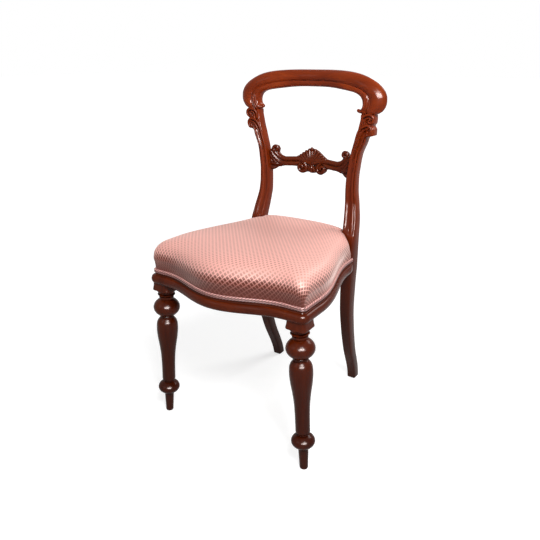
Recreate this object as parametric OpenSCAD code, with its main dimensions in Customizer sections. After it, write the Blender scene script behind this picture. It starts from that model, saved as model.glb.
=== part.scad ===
// Balloon back dining chair: a mahogany frame with a stuffed and covered seat.
// It stands on the floor at z = 0 and faces -Y. Its left and right halves mirror each other in x.
// The origin is on the floor, in the middle of the chair's width and depth.

/* [Overall] */
// Height from the floor to the top of the crest rail
overall_height = 873; // [845:1:915]
// Depth from the front moulding to the heels of the rear feet
overall_depth = 516; // [490:2:550]

/* [Seat frame] */
// Width of the seat over the piping line at the front corners
seat_front_width = 428; // [410:2:450]
// Width of the seat over the piping line at the rear legs
seat_rear_width = 326; // [310:2:340]
// Depth of the seat from its front corners to the rear legs
seat_side_depth = 337; // [320:1:350]
// Height of the lower edge of the seat rails
rail_bottom = 381; // [370:1:395]
// Height of the seat rails
rail_height = 52; // [49:1:58]
// Thickness of the seat rails
rail_thickness = 22; // [20:1:25]
// How far the middle of the front rail bows forward of the front corners
front_bow = 42; // [30:1:50]
// Radius of the seat's front corners at the piping line
corner_radius = 10; // [8:1:14]
// Height of the half round moulding
moulding_height = 22; // [18:1:24]
// How far the moulding stands out from the piping line
moulding_projection = 9; // [7:0.5:11]
// Height of the hollow above the moulding
hollow_height = 5; // [4:0.5:7]
// Depth of the rebate that the cover is tacked into
rebate_depth = 5; // [4:0.5:6]
// Length over which the moulding runs out at a rear leg
moulding_stop = 24; // [16:1:30]

/* [Front legs] */
// Width of the square block at the top of a front leg
block_width = 47; // [44:1:52]
// How far the block stands out from the piping line
block_proud = 3; // [2:0.5:4]
// How far the block hangs below the seat rails
block_drop = 22; // [18:1:28]
// Width of the block over its flared lower edge
block_flare_width = 51; // [48:1:56]
// Outward lean of the turned leg in degrees
leg_splay = 3; // [0:0.5:4]
// Diameter of the round drum below the block
drum_d = 50; // [44:1:54]
// Diameter of the thin ring below the drum
ring_d = 47; // [42:1:50]
// Diameter of the upper bulb
upper_bulb_d = 66; // [58:1:70]
// Diameter of the neck between the upper bulb and the vase
neck_d = 33; // [28:1:38]
// Diameter of the vase at its widest
vase_d = 54; // [48:1:58]
// Diameter of the slim lower end of the vase
shaft_d = 34; // [30:1:40]
// Diameter of the neck above the lower bulb
ankle_d = 29; // [26:1:32]
// Diameter of the lower bulb
lower_bulb_d = 56; // [50:1:62]
// Diameter of the foot where it meets the lower bulb
foot_d = 24; // [21:1:28]
// Diameter of the foot on the floor
toe_d = 20; // [18:1:24]

/* [Rear legs and uprights] */
// Width of a rear leg at the seat
leg_seat_width = 30; // [28:1:34]
// Depth of a rear leg at the seat
leg_seat_depth = 39; // [36:1:44]
// How far a rear leg's outer side lies inside the piping line
leg_inset = 2; // [0.5:0.5:4]
// Distance between the middles of the rear feet
rear_foot_spread = 265; // [255:1:290]
// Width of a rear foot
rear_foot_width = 25; // [22:1:30]
// Depth of a rear foot
rear_foot_depth = 26; // [22:1:32]
// Depth of an upright above the seat
upright_depth = 28; // [26:1:32]
// How far the uprights stand behind the tops of the rear legs
upright_rake = 23; // [15:1:30]
// Width of the back over its narrow waist
waist_width = 289; // [276:1:300]
// Width of an upright at the waist
waist_upright_width = 28; // [26:1:32]
// Width of the back over the heads of the uprights
head_width = 368; // [350:2:384]
// Width of an upright at its head
head_upright_width = 36; // [34:1:40]

/* [Crest rail] */
// Width of the crest rail over its rolled shoulders
crest_width = 417; // [400:1:435]
// Height of the crest rail from the heads of the uprights to its top
crest_height = 101; // [94:1:108]
// Height of the crest rail's bar in the middle
crest_bar_height = 41.5; // [36:0.5:46]
// Depth of the crest rail in the middle
crest_depth = 30; // [28:1:34]
// Depth of the rolled shoulders
shoulder_depth = 36; // [30:1:40]
// How far the middle of the back bows to the rear
back_bow = 28; // [10:1:36]

/* [Cross rail] */
// How far the arms of the cross rail lie below the heads of the uprights
cross_rail_drop = 134; // [114:1:156]
// Height of the cross rail over the scrolls at its ends
scroll_height = 68; // [60:1:76]
// Depth of the cross rail at its shell
shell_depth = 27; // [24:1:30]

/* [Seat upholstery] */
// Height of the crown of the seat above the seat rails
crown_height = 63; // [55:1:72]
// How far the side of the stuffing swells past the piping line
side_swell = 3; // [0:0.5:5]
// Radius of the seat's front corners at the crown
crown_corner_radius = 30; // [20:1:38]
// Thickness of the cover
cover_thickness = 1.2; // [1:0.1:1.5]
// Diameter of one cord of the double piping
piping_d = 4.8; // [4:0.1:5.2]
// Width of a webbing strip
webbing_width = 50; // [44:1:54]
// Thickness of the webbing
webbing_thickness = 1.2; // [1:0.1:1.5]
// Distance between the middles of the strips that run from front to back
webbing_pitch_x = 64; // [62:1:68]
// Distance between the middles of the strips that run from side to side
webbing_pitch_y = 70; // [64:1:74]
// Thickness of the hessian
hessian_thickness = 0.8; // [0.6:0.1:1]

/* [Joinery] */
// Length of the tenons of the front and side rails
tenon_length = 18; // [12:1:20]
// Length of the tenons of the back rail
back_tenon_length = 11; // [8:0.5:12]
// Thickness of the tenons
tenon_thickness = 8; // [6:0.5:9]
// Height of the tenons
tenon_height = 36; // [28:1:40]
// Diameter of the dowels in the crest rail
crest_dowel_d = 8; // [6:0.5:9]
// Length of the dowels in the crest rail
crest_dowel_length = 44; // [36:1:50]
// Diameter of the dowels in the cross rail
cross_dowel_d = 6.5; // [5:0.5:7]
// Length of the dowels in the cross rail
cross_dowel_length = 30; // [26:1:32]
// Height of the corner blocks
corner_block_height = 32; // [26:1:38]
// Length of the sides of a front corner block
front_block_reach = 42; // [36:1:50]
// Length of the sides of a rear corner block
rear_block_reach = 36; // [32:1:42]
// Diameter of the corner block screws
screw_d = 4; // [3.5:0.1:4.5]
// Diameter of the screw heads
screw_head_d = 8; // [7:0.5:9]
// Length of the screws under the head
screw_length = 26; // [22:1:28]
// Diameter of a tack's shank
tack_d = 1.4; // [1.2:0.1:1.8]
// Diameter of a tack's head
tack_head_d = 5; // [4:0.5:6]
// Length of a tack under its head
tack_length = 11; // [8:1:13]

/* [Hidden] */

// Colours of the wood, the metal and the cloths
wood_colour = "#6a2413";
inner_wood_colour = "#b58a55";
steel_colour = "#8c8c8f";
webbing_colour = "#b9a887";
hessian_colour = "#a98f63";
hair_colour = "#d8cdb8";
cover_colour = "#d58f88";
piping_colour = "#c9766f";

// Overrun of a cut past the face that it opens
overrun = 2;
// Slack of a tenon in its mortise, and of a round part in its bore
fit_gap = 0.1;
// Gap between a glued shoulder and a curved face
shoulder_gap = 0.3;
// Gap between soft parts and what they lie against
cloth_gap = 0.4;
// Facets of a round part
round_fn = 48;

// Places along the depth
front_line = -overall_depth / 2 + moulding_projection + front_bow;
leg_front = front_line + seat_side_depth;
leg_mid = leg_front + leg_seat_depth / 2;
foot_mid = overall_depth / 2 - rear_foot_depth / 2;
back_plane = leg_mid + upright_rake;

// Heights of the seat frame and the back
rail_top = rail_bottom + rail_height;
moulding_top = rail_bottom + moulding_height;
ledge = moulding_top + hollow_height;
block_bottom = rail_bottom - block_drop;
head_level = overall_height - crest_height;
crown_top = rail_top + crown_height;
cross_rail_level = head_level - cross_rail_drop;

// Half widths
side_line = seat_front_width / 2;
rear_line = seat_rear_width / 2;
block_outer = side_line + block_proud;
block_inner = block_outer - block_width;
block_front = front_line - block_proud;
block_back = block_front + block_width;
block_x = block_outer - block_width / 2;
block_y = block_front + block_width / 2;
leg_outer = rear_line - leg_inset;
leg_inner = leg_outer - leg_seat_width;
foot_x = rear_foot_spread / 2;
crest_half = crest_width / 2;

// Middle of a rail's thickness, measured inward from the piping line
rail_mid = rebate_depth + rail_thickness / 2;
rail_in = rebate_depth + rail_thickness;

// A value part of the way from a to b
function mix(a, b, share) = a + (b - a) * share;

// Smooth curve through a table's rows: the value of column c at key x, with no overshoot
function row_at(table, x, i = 0) = i >= len(table) - 2 || x < table[i + 1][0] ? i : row_at(table, x, i + 1);
function rise(table, i, c) = (table[i + 1][c] - table[i][c]) / (table[i + 1][0] - table[i][0]);
function slope(table, i, c) =
  i == 0 || i == len(table) - 1 ? 0
  : let (a = rise(table, i - 1, c), b = rise(table, i, c)) a * b <= 0 ? 0 : 2 * a * b / (a + b);
function curve(table, x, c) =
  let (
    i = row_at(table, x),
    span = table[i + 1][0] - table[i][0],
    t = min(max((x - table[i][0]) / span, 0), 1),
    m0 = slope(table, i, c) * span,
    m1 = slope(table, i + 1, c) * span,
    d = table[i + 1][c] - table[i][c]
  )
  table[i][c] + m0 * t + (3 * d - 2 * m0 - m1) * t * t + (m0 + m1 - 2 * d) * t * t * t;

// Triangles that fill a flat ring, cut off it one corner at a time. A corner is cut where the ring bends
// outward and no other point lies in the triangle.
sliver_share = 0.000001;
function ring_normal(ring) =
  let (n = len(ring))
  [for (i = [0:n - 1]) 1] * [for (i = [0:n - 1]) cross(ring[i] - ring[0], ring[(i + 1) % n] - ring[0])];
function turn(a, b, c, normal) = cross(b - a, c - a) * normal / (normal * normal);
function inside(a, b, c, p, normal) =
  min(turn(a, b, p, normal), turn(b, c, p, normal), turn(c, a, p, normal)) > -sliver_share;
function cuttable(ring, left, k, normal) =
  let (
    n = len(left),
    a = ring[left[(k + n - 1) % n]], b = ring[left[k]], c = ring[left[(k + 1) % n]]
  )
  turn(a, b, c, normal) > sliver_share
  && len([for (j = [2:n - 2]) if (inside(a, b, c, ring[left[(k + j) % n]], normal)) j]) == 0;
function corner_to_cut(ring, left, k, normal) =
  k == len(left) - 1 || cuttable(ring, left, k, normal) ? k : corner_to_cut(ring, left, k + 1, normal);
function fill(ring, left, normal) =
  len(left) == 3 ? [left]
  : let (n = len(left), k = corner_to_cut(ring, left, 0, normal))
    concat([[left[(k + n - 1) % n], left[k], left[(k + 1) % n]]],
      fill(ring, [for (i = [0:n - 1]) if (i != k) left[i]], normal));
function cap(ring) = fill(ring, [for (i = [0:len(ring) - 1]) i], ring_normal(ring));

// Solid between rings that all have the same number of points, with flat ends.
// Seen against the direction of travel, a ring's points run anticlockwise.
module skin(rings) {
  n = len(rings[0]);
  m = len(rings);
  end = (m - 1) * n;
  polyhedron(
    points = [for (ring = rings) each ring],
    faces = concat(
      cap(rings[0]),
      [for (i = [0:m - 2], j = [0:n - 1])
        let (a = i * n + j, b = i * n + (j + 1) % n)
        each [[a, a + n, b], [b, a + n, b + n]]],
      [for (t = cap(rings[m - 1])) [end + t[2], end + t[1], end + t[0]]]),
    convexity = 8);
}

// A module's right hand copy is as drawn, and its left hand copy is its mirror image
module on_side(side) {
  mirror([side < 0 ? 1 : 0, 0, 0]) children();
}

// Piping line of the seat. A station is a place on it with the outward direction: [x, y, out x, out y].
function station(x, y, dx, dy) = let (l = sqrt(dx * dx + dy * dy)) [x, y, dx / l, dy / l];
function front_station(x) =
  let (angle = 180 * x / block_inner)
  station(x, front_line - front_bow * (1 + cos(angle)) / 2,
    front_bow * PI / (2 * block_inner) * sin(angle), -1);
// The side rail is straight near its ends and curves in between them
side_start_share = 0.09;
side_end_share = 0.94;
side_run = leg_front - block_back;
curve_start = block_back + side_run * side_start_share;
curve_length = side_run * (side_end_share - side_start_share);
function side_station(y) =
  let (
    angle = 180 * min(max((y - curve_start) / curve_length, 0), 1),
    draw = side_line - rear_line
  )
  station(side_line - draw * (1 - cos(angle)) / 2, y, 1, draw * PI / (2 * curve_length) * sin(angle));
function corner_station(angle) = [
  side_line - corner_radius + corner_radius * sin(angle),
  front_line + corner_radius - corner_radius * cos(angle),
  sin(angle), -cos(angle)];
// Point at a distance outward from a station
function out(s, distance) = [s[0] + s[2] * distance, s[1] + s[3] * distance];
function out_at(s, distance, z) = [s[0] + s[2] * distance, s[1] + s[3] * distance, z];

// Section of the seat rails: distances outward from the piping line, and heights.
// The half round moulding stands on a flat that lies on the piping line.
moulding_steps = 7;
hollow_share = 0.4;
rail_profile = concat(
  [[-rail_in, rail_bottom], [0, rail_bottom]],
  [for (i = [1:moulding_steps]) let (angle = 180 * i / (moulding_steps + 1))
    [moulding_projection * sin(angle), rail_bottom + moulding_height * (1 - cos(angle)) / 2]],
  [[0, moulding_top], [-rebate_depth * hollow_share, mix(moulding_top, ledge, hollow_share)],
    [-rebate_depth * hollow_share, ledge], [-rebate_depth, ledge],
    [-rebate_depth, rail_top], [-rail_in, rail_top]]);

// Front leg

// Outline of the turned leg. Heights are shares of the height from the floor to the block.
toe_round_share = 0.006;
foot_top_share = 0.152;
lower_bulb_share = 0.209;
lower_bulb_half_share = 0.055;
lower_bulb_low_angle = 27;
lower_bulb_high_angle = 150;
ankle_share = 0.266;
vase_shares = [[0.288, 0], [0.378, 0.02], [0.47, 0.12], [0.556, 0.42], [0.643, 0.86], [0.699, 1],
  [0.74, 0.94], [0.768, 0.62], [0.788, 0.1]];
vase_steps = 14;
neck_share = 0.797;
upper_bulb_share = 0.8705;
upper_bulb_half_share = 0.075;
upper_bulb_low_angle = 32;
upper_bulb_high_angle = 148;
groove_share = 0.94;
ring_share = 0.952;
ring_half_share = 0.0097;
drum_share = 0.9643;
bulb_steps = 9;
ring_steps = 5;

// Points of a round bulb from a low angle to a high one, where 90 is its widest place
function bulb(d, mid_share, half_share, low, high, steps) = [
  for (i = [0:steps]) let (angle = mix(low, high, i / steps))
    [d / 2 * sin(angle), block_bottom * (mid_share - half_share * cos(angle))]];
function vase_point(share) = [
  mix(shaft_d, vase_d, curve(vase_shares, share, 1)) / 2, block_bottom * share];

turned_leg_points = concat(
  [[0, -overrun], [toe_d / 2, -overrun], [toe_d / 2, block_bottom * toe_round_share],
    [foot_d / 2, block_bottom * foot_top_share]],
  bulb(lower_bulb_d, lower_bulb_share, lower_bulb_half_share, lower_bulb_low_angle, lower_bulb_high_angle,
    bulb_steps),
  [[ankle_d / 2, block_bottom * ankle_share]],
  [for (i = [0:vase_steps]) vase_point(mix(vase_shares[0][0], vase_shares[len(vase_shares) - 1][0],
    i / vase_steps))],
  [[neck_d / 2, block_bottom * neck_share]],
  bulb(upper_bulb_d, upper_bulb_share, upper_bulb_half_share, upper_bulb_low_angle, upper_bulb_high_angle,
    bulb_steps),
  [[neck_d / 2, block_bottom * groove_share]],
  bulb(ring_d, ring_share, ring_half_share, upper_bulb_low_angle, upper_bulb_high_angle, ring_steps),
  [[drum_d / 2, block_bottom * drum_share], [drum_d / 2, block_bottom], [0, block_bottom]]);

module turned_leg() {
  difference() {
    translate([block_x, block_y, block_bottom])
      rotate([0, -leg_splay, 0])
        translate([0, 0, -block_bottom])
          rotate_extrude($fn = round_fn) polygon(turned_leg_points);
    translate([block_x - block_width, block_y - block_width, -block_width])
      cube([3 * block_width, 2 * block_width, block_width]);
  }
}

// Square ring about the block's middle
function square_ring(width, z) = [
  [block_x - width / 2, block_y - width / 2, z], [block_x + width / 2, block_y - width / 2, z],
  [block_x + width / 2, block_y + width / 2, z], [block_x - width / 2, block_y + width / 2, z]];
// Flare of the block's lower edge: shares of the drop below the rails, and of the added width
flare_shares = [[0, -0.3], [0.2, 1], [0.4, 0.66], [0.65, 0.2], [0.9, 0], [1.1, 0]];
// Outline of the block's upper part, a distance outward from the piping line
corner_steps = 5;
function corner_ring(distance, z) = concat(
  [[block_inner, block_back, z], [block_inner, front_line - distance, z]],
  [for (i = [0:corner_steps]) out_at(corner_station(90 * i / corner_steps), distance, z)],
  [[side_line + distance, block_back, z]]);

module front_leg(side) {
  color(wood_colour)
    on_side(side)
      difference() {
        union() {
          turned_leg();
          skin([for (row = flare_shares)
            square_ring(mix(block_width, block_flare_width, row[1]), block_bottom + block_drop * row[0])]);
          skin([for (p = rail_profile) if (p[0] > -rail_in && (p[0] != 0 || p[1] == rail_bottom
            || p[1] == moulding_top) && (p[1] != ledge || p[0] == -rebate_depth)) corner_ring(p[0], p[1])]);
        }
        tenon(front_line + rail_mid, fit_gap);
        side_tenon(fit_gap);
      }
}

// Tenons and mortises

tenon_bottom = rail_bottom + (rail_height - tenon_height) / 2;
// Tenon of the front rail into the right front leg, grown by a gap to cut its mortise
module tenon(y, gap) {
  translate([block_inner - overrun, y - tenon_thickness / 2 - gap, tenon_bottom - gap])
    cube([tenon_length + overrun + gap, tenon_thickness + 2 * gap, tenon_height + 2 * gap]);
}
// Tenon of the right side rail into the front leg
module side_tenon(gap) {
  translate([side_line - rail_mid - tenon_thickness / 2 - gap, block_back - tenon_length - gap,
    tenon_bottom - gap])
    cube([tenon_thickness + 2 * gap, tenon_length + overrun + gap, tenon_height + 2 * gap]);
}
// Tenon of the right side rail into the rear leg
module rear_tenon(gap) {
  translate([rear_line - rail_mid - tenon_thickness / 2 - gap, leg_front - overrun, tenon_bottom - gap])
    cube([tenon_thickness + 2 * gap, tenon_length + overrun + gap, tenon_height + 2 * gap]);
}
// Tenon of the back rail into the right rear leg
module back_tenon(gap) {
  translate([leg_inner - overrun, back_rail_mid - tenon_thickness / 2 - gap, tenon_bottom - gap])
    cube([back_tenon_length + overrun + gap, tenon_thickness + 2 * gap, tenon_height + 2 * gap]);
}

// Rear leg and upright

// The back bows to the rear between its uprights
bow_span_share = 0.92;
bow_half = head_width / 2 * bow_span_share;
function back_mid(x) = back_plane + back_bow * (1 + cos(180 * min(abs(x) / bow_half, 1))) / 2;

// Sweep of the leg below the seat: share of the rail's height, and share of the way back to the foot
leg_sweep_shares = [[0, 1], [0.03, 0.98], [0.083, 0.92], [0.16, 0.79], [0.287, 0.55], [0.41, 0.37],
  [0.53, 0.225], [0.684, 0.08], [0.8, 0.03], [0.96, 0]];
// Upright above the seat: share of its height, then shares of the way to the waist of its outer and
// inner side, shares of the way from the waist to the head, and the share of the rake
upright_shares = [
  [0, 0, 0, 0, 0, 0],
  [0.12, 0.06, 0.34, 0, 0, 0.16],
  [0.23, 0.26, 0.63, 0, 0, 0.58],
  [0.31, 0.55, 0.82, 0, 0, 0.86],
  [0.37, 0.76, 0.96, 0, 0, 1],
  [0.46, 0.98, 1, 0, 0, 1],
  [0.54, 1, 1, 0, 0.03, 1],
  [0.61, 1, 1, 0.05, 0.14, 1],
  [0.71, 1, 1, 0.17, 0.3, 1],
  [0.8, 1, 1, 0.46, 0.555, 1],
  [0.845, 1, 1, 0.6, 0.68, 1],
  [0.86, 1, 1, 1.08, 0.73, 1],
  [0.9, 1, 1, 1.06, 0.84, 1],
  [0.925, 1, 1, 0.9, 0.9, 1],
  [0.945, 1, 1, 1.04, 0.95, 1],
  [0.975, 1, 1, 1.06, 1, 1],
  [1, 1, 1, 1, 1, 1]];
upright_height = head_level - rail_top;
function upright_share(z) = min(max((z - rail_top) / upright_height, 0), 1);
function leg_share(z) = min(max(z / rail_bottom, 0), 1);
function rear_outer(z) =
  z <= rail_top ? mix(foot_x + rear_foot_width / 2, leg_outer, leg_share(z))
  : let (u = upright_share(z))
    mix(mix(leg_outer, waist_width / 2, curve(upright_shares, u, 1)), head_width / 2,
      curve(upright_shares, u, 3));
function rear_inner(z) =
  z <= rail_top ? mix(foot_x - rear_foot_width / 2, leg_inner, leg_share(z))
  : let (u = upright_share(z))
    mix(mix(leg_inner, waist_width / 2 - waist_upright_width, curve(upright_shares, u, 2)),
      head_width / 2 - head_upright_width, curve(upright_shares, u, 4));
function rear_mid(z) =
  z <= rail_top ? mix(leg_mid, foot_mid, curve(leg_sweep_shares, leg_share(z), 1))
  : mix(leg_mid, back_plane, curve(upright_shares, upright_share(z), 5));
function rear_depth(z) =
  z <= rail_top ? mix(rear_foot_depth, leg_seat_depth, leg_share(z))
  : mix(leg_seat_depth, upright_depth, curve(upright_shares, upright_share(z), 5));
function rear_front(z) = rear_mid(z) - rear_depth(z) / 2;

// Sections as shares of the width from the inner side and of the depth from the front.
// The leg is square with eased edges, and the upright's front has a bead, a hollow and a rib.
leg_section_shares = [[0, 0.1], [0.1, 0], [0.3, 0], [0.45, 0], [0.6, 0], [0.75, 0], [0.9, 0], [1, 0.1],
  [1, 0.92], [0.92, 1], [0.08, 1], [0, 0.92]];
upright_section_shares = [[0, 0.2], [0.1, 0.08], [0.24, 0.1], [0.42, 0.26], [0.58, 0.2], [0.72, 0.02],
  [0.88, 0], [1, 0.16], [1, 0.9], [0.9, 1], [0.1, 1], [0, 0.9]];
// Share of the upright's height over which the moulding of its front begins
moulded_from_share = 0.12;
moulded_to_share = 0.24;
function moulded(z) =
  min(max((upright_share(z) - moulded_from_share) / (moulded_to_share - moulded_from_share), 0), 1);
function rear_ring(z, ease = 0) =
  let (
    x0 = rear_inner(z) + ease, x1 = rear_outer(z) - ease,
    y0 = rear_front(z) + ease, d = rear_depth(z) - 2 * ease, m = moulded(z)
  )
  [for (i = [0:len(leg_section_shares) - 1])
    let (s = mix(leg_section_shares[i], upright_section_shares[i], m))
    [mix(x0, x1, s[0]), y0 + d * s[1], z]];
// Rounding of a rear foot's lower edge
foot_ease = 3;
leg_rings = 16;
upright_rings = 34;
rear_levels = concat(
  [for (i = [0:leg_rings]) mix(foot_ease, rail_bottom, i / leg_rings)],
  [for (i = [0:upright_rings]) rail_top + upright_height * i / upright_rings]);

// Dowels of the crest rail, in the head of the right upright
dowel_spread_share = 0.24;
crest_dowel_x = [for (s = [-1, 1]) head_width / 2 - head_upright_width * (0.5 + s * dowel_spread_share)];
module crest_dowel_pair(gap) {
  for (x = crest_dowel_x)
    translate([x, back_plane, head_level - crest_dowel_length / 2 - gap])
      cylinder(d = crest_dowel_d + 2 * gap, h = crest_dowel_length + 2 * gap, $fn = round_fn);
}

// Dowels of the cross rail, in the right upright
cross_dowel_levels_share = [-0.13, 0.2];
cross_dowel_levels = [for (s = cross_dowel_levels_share) cross_rail_level + scroll_height * s];
cross_dowel_y = back_mid(rear_inner(cross_rail_level));
module cross_dowel_pair(gap) {
  for (z = cross_dowel_levels)
    translate([rear_inner(z) - cross_dowel_length / 2 - gap, cross_dowel_y, z])
      rotate([0, 90, 0])
        cylinder(d = cross_dowel_d + 2 * gap, h = cross_dowel_length + 2 * gap, $fn = round_fn);
}

module rear_leg(side) {
  color(wood_colour)
    on_side(side)
      difference() {
        skin(concat([rear_ring(0, foot_ease)], [for (z = rear_levels) rear_ring(z)]));
        rear_tenon(fit_gap);
        back_tenon(fit_gap);
        crest_dowel_pair(fit_gap);
        cross_dowel_pair(fit_gap);
      }
}

// Crest rail and cross rail

// Right half of the crest rail from the joint to the middle. Outer and inner edge: x as a share of
// half the crest's width, z as a share of the crest's height. Last is the share of the way from the
// middle's depth to the shoulder's.
crest_shares = [
  [0.945, 0.07, 0.7, 0.035, 0.5],
  [0.972, 0.13, 0.645, 0.085, 0.8],
  [0.99, 0.2, 0.705, 0.15, 1],
  [1, 0.3, 0.714, 0.23, 1],
  [0.998, 0.4, 0.708, 0.31, 1],
  [0.98, 0.51, 0.688, 0.385, 0.95],
  [0.946, 0.61, 0.65, 0.445, 0.85],
  [0.895, 0.7, 0.6, 0.485, 0.7],
  [0.82, 0.79, 0.53, 0.512, 0.5],
  [0.73, 0.87, 0.455, 0.533, 0.3],
  [0.62, 0.933, 0.375, 0.553, 0.15],
  [0.49, 0.972, 0.285, 0.573, 0.05],
  [0.335, 0.993, 0.19, 0.585, 0],
  [0.165, 1, 0.095, 0.589, 0]];
// Section of the crest rail: share of the way from the inner to the outer edge, and share of half the
// depth towards the rear. It has a bead at its inner edge, a groove and a broad roll.
crest_section_shares = [[0, 0], [0.05, -0.6], [0.15, -0.85], [0.27, -0.62], [0.4, -0.86], [0.62, -1],
  [0.82, -0.86], [0.95, -0.5], [1, 0], [0.95, 0.5], [0.8, 0.86], [0.5, 1], [0.18, 0.9], [0.04, 0.5]];
crest_half_path = concat(
  [[head_width / 2, head_level, head_width / 2 - head_upright_width, head_level, upright_depth]],
  [for (s = crest_shares) [crest_half * s[0], head_level + crest_height * s[1],
    crest_half * s[2], head_level + crest_height * s[3], mix(crest_depth, shoulder_depth, s[4])]]);
crest_middle = [0, overall_height, 0, overall_height - crest_bar_height, crest_depth];
function crest_mirror(p) = [-p[0], p[1], -p[2], p[3], p[4]];
crest_path = concat(crest_half_path, [crest_middle],
  [for (i = [len(crest_half_path) - 1:-1:0]) crest_mirror(crest_half_path[i])]);
crest_table = [for (i = [0:len(crest_path) - 1]) concat([i], crest_path[i])];
crest_rings = 2 * (len(crest_path) - 1);
function crest_ring(t) =
  let (
    xo = curve(crest_table, t, 1), zo = curve(crest_table, t, 2),
    xi = curve(crest_table, t, 3), zi = curve(crest_table, t, 4), d = curve(crest_table, t, 5)
  )
  [for (s = crest_section_shares) let (x = mix(xi, xo, s[0]))
    [x, back_mid(x) + s[1] * d / 2, mix(zi, zo, s[0])]];

module crest_rail() {
  color(wood_colour)
    difference() {
      skin([for (i = [0:crest_rings]) crest_ring(i / 2)]);
      for (side = [-1, 1]) on_side(side) crest_dowel_pair(fit_gap);
    }
}

// Right half of the cross rail from its shell to its end: x as a share of the half span, then the top
// and bottom edge as shares of the scroll's height, and the depth as a share of the shell's depth
cross_shares = [
  [0, 0.56, -0.41, 1],
  [0.08, 0.545, -0.355, 0.98],
  [0.19, 0.46, -0.37, 0.92],
  [0.28, 0.34, -0.32, 0.82],
  [0.37, 0.235, -0.205, 0.74],
  [0.49, 0.176, -0.184, 0.7],
  [0.66, 0.165, -0.19, 0.68],
  [0.775, 0.2, -0.22, 0.72],
  [0.805, 0.36, -0.25, 0.78],
  [0.84, 0.57, -0.3, 0.82],
  [0.9, 0.61, -0.34, 0.82],
  [1, 0.57, -0.41, 0.8]];
// Section of the cross rail: share of half the height up, and share of half the depth to the rear
cross_section_shares = [[-1, 0], [-0.8, 0.75], [-0.3, 1], [0.3, 1], [0.8, 0.75], [1, 0], [0.8, -0.75],
  [0.3, -1], [-0.3, -1], [-0.8, -0.75]];
cross_steps = 20;
function cross_ring(t) =
  let (
    top = scroll_height * curve(cross_shares, abs(t), 1),
    low = scroll_height * curve(cross_shares, abs(t), 2),
    d = shell_depth * curve(cross_shares, abs(t), 3)
  )
  [for (s = cross_section_shares)
    let (
      z = cross_rail_level + mix(low, top, (1 + s[0]) / 2),
      x = t * (rear_inner(z) - shoulder_gap)
    )
    [x, back_mid(x) + s[1] * d / 2, z]];
// Places of the rings, closer together near the scrolls
function cross_place(i) = let (u = i / cross_steps) mix(u, sin(90 * u), 0.5);

module cross_rail() {
  color(wood_colour)
    difference() {
      skin([for (i = [-cross_steps:cross_steps]) cross_ring(sign(i) * cross_place(abs(i)))]);
      for (side = [-1, 1]) on_side(side) cross_dowel_pair(fit_gap);
    }
}

module crest_dowels() {
  color(inner_wood_colour)
    for (side = [-1, 1]) on_side(side) crest_dowel_pair(0);
}

module cross_rail_dowels() {
  color(inner_wood_colour)
    for (side = [-1, 1]) on_side(side) cross_dowel_pair(0);
}

// Seat rails

front_steps = 28;
side_steps = 20;

module front_rail() {
  color(wood_colour)
    difference() {
      union() {
        skin([for (i = [front_steps / 2:-1:-front_steps / 2])
          let (s = front_station(block_inner * 2 * i / front_steps))
          [for (p = rail_profile) out_at(s, p[0], p[1])]]);
        for (side = [-1, 1]) on_side(side) tenon(front_line + rail_mid, 0);
      }
      for (side = [-1, 1]) on_side(side) front_screw(fit_gap);
      for (p = front_tack_places) tack(p, fit_gap);
    }
}

// The moulding runs out towards the rear leg
function stopped(distance, y) =
  distance <= 0 ? distance
  : distance * sqrt(min(max((leg_front - y) / moulding_stop, 0), 1));

module side_rail(side) {
  color(wood_colour)
    on_side(side)
      difference() {
        union() {
          skin([for (i = [side_steps:-1:0])
            let (s = side_station(mix(block_back, leg_front, i / side_steps)))
            [for (p = rail_profile) out_at(s, stopped(p[0], s[1]), p[1])]]);
          side_tenon(0);
          rear_tenon(0);
        }
        side_screw(fit_gap);
        rear_side_screw(fit_gap);
        for (p = side_tack_places) tack(p, fit_gap);
      }
}

// The back rail is straight. Its rebate faces the rear, and its face lies inside the legs' rear faces
// by the thickness of the piping and the cover.
back_rail_rear = leg_front + leg_seat_depth - piping_d - cover_thickness - 2 * cloth_gap;
back_rail_front = back_rail_rear - rail_thickness;
back_rail_mid = back_rail_rear - rail_thickness / 2;

module back_rail() {
  color(wood_colour)
    difference() {
      union() {
        translate([-leg_inner, back_rail_front, rail_bottom])
          cube([2 * leg_inner, rail_thickness, rail_height]);
        translate([-leg_inner, back_rail_front, rail_bottom])
          cube([2 * leg_inner, rail_thickness + rebate_depth, ledge - rail_bottom]);
        for (side = [-1, 1]) on_side(side) back_tenon(0);
      }
      for (side = [-1, 1]) on_side(side) back_screw(fit_gap);
      for (p = back_tack_places) tack(p, fit_gap);
    }
}

// Corner blocks and their screws

block_low = rail_bottom + (rail_height - corner_block_height) / 2;
block_mid = rail_bottom + rail_height / 2;
// Share of a block's reach at which its screws stand
screw_place_share = 0.5;
// Share of a rail's thickness that a screw bites into, and the wood of the block under its head
screw_bite_share = 0.6;
head_seat = screw_length - rail_thickness * screw_bite_share;

// A screw with its point in +X from the underside of its head at the origin, or its bore with a gap
module screw(gap) {
  head_height = screw_head_d / 3;
  pocket = gap > 0 ? front_block_reach : 0;
  rotate([0, 90, 0]) {
    cylinder(d = screw_d + 2 * gap, h = screw_length + gap, $fn = round_fn);
    translate([0, 0, -head_height - pocket])
      cylinder(d = screw_head_d + 2 * gap, h = head_height + pocket, $fn = round_fn);
  }
}

front_screw_x = block_inner - front_block_reach * screw_place_share;
side_screw_y = block_back + front_block_reach * screw_place_share;
rear_side_screw_y = leg_front - rear_block_reach * screw_place_share;
back_screw_x = leg_inner - rear_block_reach * screw_place_share;

// Through the right front corner block into the front rail
module front_screw(gap) {
  translate([front_screw_x, out(front_station(front_screw_x), -rail_in)[1] + head_seat, block_mid])
    rotate([0, 0, -90]) screw(gap);
}
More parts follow.
